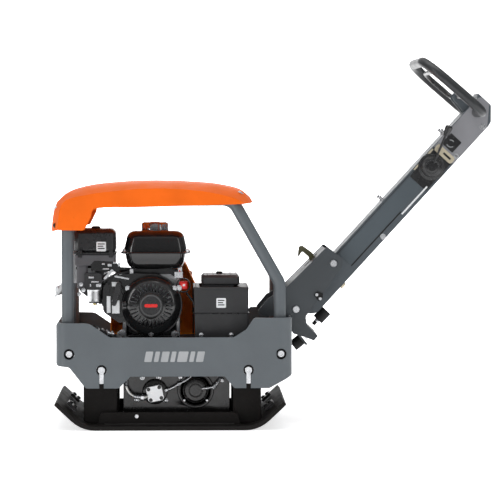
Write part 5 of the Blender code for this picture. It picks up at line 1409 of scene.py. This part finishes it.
def dress_drawbar():
    """Folded drawbar with its covers, sight window, scale strip and fixings, and black sheets of painted shade by
    the throttle and along the lower fold.
    """
    refine("drawbar", DARK, 0.0009, 3)
    near = LEFT * ARM_HALF
    for hand, name in ((LEFT, "left"), (RIGHT, "right")):
        skin = sorted((hand * (ARM_HALF + 0.0002), hand * (ARM_HALF + 0.001)))
        panel = round_corners([(0.03, -0.044), (0.338, -0.044), (0.338, 0.004), (0.03, 0.004)], 0.006, 5)
        show("drawbar_panel_" + name, arm_prism(panel, *skin), PANEL, "drawbar", 0.0003, 2)
        seam = round_corners([(0.026, 0.0072), (0.452, 0.0072), (0.452, 0.0084), (0.026, 0.0084)], 0.0004, 2)
        show("drawbar_seam_" + name, arm_prism(seam, *skin), RUBBER, "drawbar")
        # Painted shade: a thin black strip along the lower fold, whose facet faces down into shade.
        lower = round_corners([(0.03, -0.0485), (0.246, -0.0485), (0.246, -0.045), (0.03, -0.045)], 0.0012, 3)
        show("drawbar_fold_painted_shade_" + name, arm_prism(lower, *skin), RUBBER, "drawbar")
        head = round_corners([(0.452, -0.065), (0.6, -0.065), (0.653, -0.024), (0.653, 0.006), (0.644, 0.012),
                              (0.452, 0.012)], [0.001, 0.01, 0.006, 0.003, 0.003, 0.001], 5)
        show("drawbar_head_" + name, arm_prism(head, *skin), HEAD, "drawbar", 0.0003, 2)
        spots = [arm_point(a, o) for a, o in ((0.5915, -0.0548), (0.4739, -0.0568), (0.156, -0.0578))]
        bolts("drawbar_bolts_" + name, lambda: hex_bolt(0.0098, 0.0036, 0.0006),
              [(p.x, hand * (ARM_HALF + 0.001), p.z) for p in spots], (0, hand, 0), ZINC, "drawbar")
    # Painted shade: a black sheet on the near face from 0.34 to 0.45 along the drawbar, where it lies in shadow by
    # the throttle bracket.
    back = arm_prism(round_corners([(0.34, -0.06), (0.45, -0.06), (0.45, 0.005), (0.34, 0.005)], 0.003, 4),
                     near - 0.001, near - 0.0002)
    show("throttle_painted_shade", back, SLEEK_PLASTIC, "drawbar", 0.0003, 2)
    label = arm_prism(round_corners([(0.474, -0.041), (0.515, -0.041), (0.515, 0.001), (0.474, 0.001)],
                                    0.003, 4), near - 0.002, near - 0.0011)
    show("throttle_label", label, SLEEK_PLASTIC, "drawbar", 0.0002, 1)
    centre = arm_point(0.493, -0.018, near - 0.0021)
    marks = []
    for radius, first, last in ((0.0125, 200, 300), (0.0085, 20, 110)):
        middle = [(radius + 0.001, first, last), (radius - 0.001, last, first)]
        ring = []
        for size, start, end in middle:
            ring += arc(centre.x, centre.z, size, start, end, 16)
        marks.append(prism(ring, "Y", near - 0.0025, near - 0.002))
    show("throttle_label_marks", merge(*marks), MARK, "drawbar")
    slot = arm_prism(round_corners([(0.4535, -0.05), (0.4595, -0.05), (0.4595, -0.022), (0.4535, -0.022)],
                                   0.0012, 3), near - 0.0034, near - 0.0026)
    show("stop_plate_slot", slot, RUBBER, "drawbar")
    bracket = round_corners([(0.445, -0.06), (0.468, -0.06), (0.468, 0.006), (0.456, 0.008), (0.445, 0.004)],
                            [0.008, 0.008, 0.004, 0.004, 0.002], 5)
    show("throttle_stop_plate", arm_prism(bracket, near - 0.0026, near - 0.0012), CREAM, "drawbar",
         0.0003, 2)
    strip = arm_prism(round_corners([(0.362, 0.006), (0.444, 0.006), (0.444, 0.0115), (0.362, 0.0105)], 0.001,
                                    3),
                      near - 0.0018, near - 0.001)
    show("throttle_stop_strip", strip, CREAM, "drawbar", 0.0002, 1)
    scale = arm_box((0.242, 0.352), (-0.056, -0.051), (near - 0.0016, near - 0.001))
    ticks = [arm_box((0.246 + 0.006 * i, 0.2472 + 0.006 * i), (-0.0555, -0.0515 - 0.0012 * (i % 2)),
                     (near - 0.0019, near - 0.0015)) for i in range(17)]
    show("scale_strip", scale, LABEL, "drawbar", 0.0002, 1)
    show("scale_ticks", merge(*ticks), MARK, "drawbar")
    clips = []
    for along in (0.503, 0.236):
        for y in (-0.04, 0.04):
            foot = arm_point(along, 0.0135, y)
            profile = [(0.0, 0.0), (0.0062, 0.0), (0.0062, 0.003), (0.0034, 0.0036), (0.0034, 0.011),
                       (0.0056, 0.0116), (0.0056, 0.0155), (0.0, 0.0158)]
            clips.append(aimed(turned(profile, 24), foot, ARM_OVER))
    show("top_clips", merge(*clips), STEEL, "drawbar", crease=28.0)
    bump = turned([(0.0, 0.0), (0.01, 0.0), (0.0095, 0.006), (0.006, 0.0085), (0.0, 0.009)], 28)
    low = arm_point(-0.029, -0.066, -0.03)
    show("grease_cap", aimed(bump, low, -ARM_OVER), CREAM, "drawbar", crease=30.0)


LOOP_START = arm_point(0.61, -0.014)
LOOP_AIM = Vector((-0.757, 0.0, 0.653)).normalized()


def loop_path(first, reach, half, radii, count=12):
    """Closed or open centre line in the plane of the handle: (across, out) turned into points."""
    corners = [(-half, first), (-half, reach), (half, reach), (half, first)]
    return [LOOP_START + LOOP_AIM * out + Vector((0.0, across, 0.0))
            for across, out in round_corners(corners, radii, count)]


def dress_handle():
    """Guide loop, hold-to-run bail, throttle dome and lever."""
    loop = loop_path(0.0, 0.222, 0.22, [0.045, 0.085, 0.085, 0.045], 14)
    show("handle_loop_finished", tube(loop, 0.0142, 32, loop=True), HANDLE, BODY_OF["handle_loop"],
         stands_for=("handle_loop",))
    bail = loop_path(0.07, 0.18, 0.15, [0.03, 0.05, 0.05, 0.03], 10)
    show("control_bail_finished", tube(bail, 0.0065, 20, loop=True), SLEEK_PLASTIC, BODY_OF["control_bail"],
         stands_for=("control_bail",))
    refine("throttle_housing", SLEEK_PLASTIC, 0.0006, 2)
    refine("throttle_lever", SLEEK_PLASTIC, 0.0004, 2)
    centre = arm_point(0.403, -0.024)
    rings = []
    for radius, out in ((0.0362, 0.059), (0.0272, 0.0634), (0.019, 0.073)):
        rings.append(aimed(turned([(radius - 0.0009, 0.0), (radius + 0.0009, 0.0), (radius + 0.0009, 0.0007),
                                   (radius - 0.0009, 0.0007)], 48), (centre.x, -out, centre.z), (0, -1, 0)))
    show("throttle_rings", merge(*rings), CHROME, BODY_OF["throttle_housing"])


# ---- stage -------------------------------------------------------------------------------
def build_stage():
    """Pale sweep that glows with painted light, soft light and the camera."""
    scene = bpy.context.scene
    sweep = bmesh.new()
    wall = 13.0
    profile = [(-14.0, 0.0)] + [(wall + a, 3.0 + b) for a, b in arc(0, 0, 3.0, -90, 0, 12)] + [(wall + 3.0,
                                                            9.0)]
    rows = [[sweep.verts.new((x, y, z)) for y, z in profile] for x in (-14.0, 14.0)]
    for i in range(len(profile) - 1):
        sweep.faces.new([rows[0][i], rows[1][i], rows[1][i + 1], rows[0][i + 1]])
    bmesh.ops.recalc_face_normals(sweep, faces=sweep.faces)
    g = Graph("studio_white_painted_glow", (0.9, 0.9, 0.905), 0.75, specular=0.1)
    # Painted light: the sweep glows, its emission 0.62 near the machine rising to 1.6 further out, fading out
    # between 2.2 and 3.4 m to either side and in front.
    g.set(g.shader, "Emission Color", (1.0, 1.0, 1.0, 1.0))
    split = g.node("ShaderNodeSeparateXYZ")
    g.link(g.place, split, "Vector")
    x, y = split.outputs["X"], split.outputs["Y"]
    wide = g.ramp(g.maths("ABSOLUTE", x, 0.0), 2.2, 3.4, 1.0, 0.0)
    front = g.ramp(y, -3.4, -2.2, 0.0, 1.0)
    away = g.ramp(g.maths("ADD", g.maths("MULTIPLY", x, x), g.maths("MULTIPLY", y, y)), 1.2, 6.0, 0.62, 1.6)
    g.link(g.maths("MULTIPLY", g.maths("MULTIPLY", wide, front), away), g.shader, "Emission Strength")
    floor = mesh_object("studio_sweep", sweep, g.material)

    world = bpy.data.worlds.new("studio")
    world.use_nodes = True
    tree = world.node_tree
    split = tree.nodes.new("ShaderNodeSeparateXYZ")
    tree.links.new(tree.nodes.new("ShaderNodeTexCoord").outputs["Generated"], split.inputs["Vector"])
    shade = tree.nodes.new("ShaderNodeMapRange")
    tree.links.new(split.outputs["Z"], shade.inputs["Value"])
    for name, value in (("From Min", 0.0), ("From Max", 0.75), ("To Min", 0.1), ("To Max", 0.7)):
        shade.inputs[name].default_value = value
    background = tree.nodes["Background"]
    background.inputs["Color"].default_value = (0.97, 0.985, 1.0, 1.0)
    tree.links.new(shade.outputs["Result"], background.inputs["Strength"])
    scene.world = world
    scene.view_settings.view_transform = "Standard"

    def softbox(name, place, target, size, power):
        light = bpy.data.lights.new(name, "AREA")
        light.shape = "RECTANGLE"
        light.size, light.size_y = size
        light.energy = power
        made = bpy.data.objects.new(name, light)
        made.location = place
        made.rotation_euler = (Vector(target) - Vector(place)).to_track_quat("-Z", "Y").to_euler()
        scene.collection.objects.link(made)

    middle = (0.25, 0.0, 0.45)
    softbox("top_softbox", (0.1, -0.3, 3.4), middle, (2.6, 2.0), 26.0)
    softbox("left_strip", (-3.3, -2.7, 1.7), middle, (0.8, 2.6), 32.0)
    softbox("right_strip", (3.8, -2.7, 1.7), middle, (0.8, 2.6), 13.0)

    distance, sensor, frame_width = 7.5, 36.0, 1.475
    camera = bpy.data.cameras.new("camera")
    camera.sensor_width = sensor
    camera.lens = sensor * distance / frame_width
    camera.clip_end = 60.0
    made = bpy.data.objects.new("camera", camera)
    made.location = (0.037, -distance, 0.854)
    aim = Vector((0.2347, 0.0, 0.5059)) - made.location
    made.rotation_euler = aim.to_track_quat("-Z", "Y").to_euler()
    scene.collection.objects.link(made)
    scene.camera = made


def main():
    build_stage()
    dress_base()
    dress_lines(*dress_exciter())
    dress_chassis()
    dress_hood()
    dress_engine()
    dress_drive()
    dress_box()
    dress_hitch()
    dress_adjuster()
    dress_drawbar()
    dress_handle()


main()
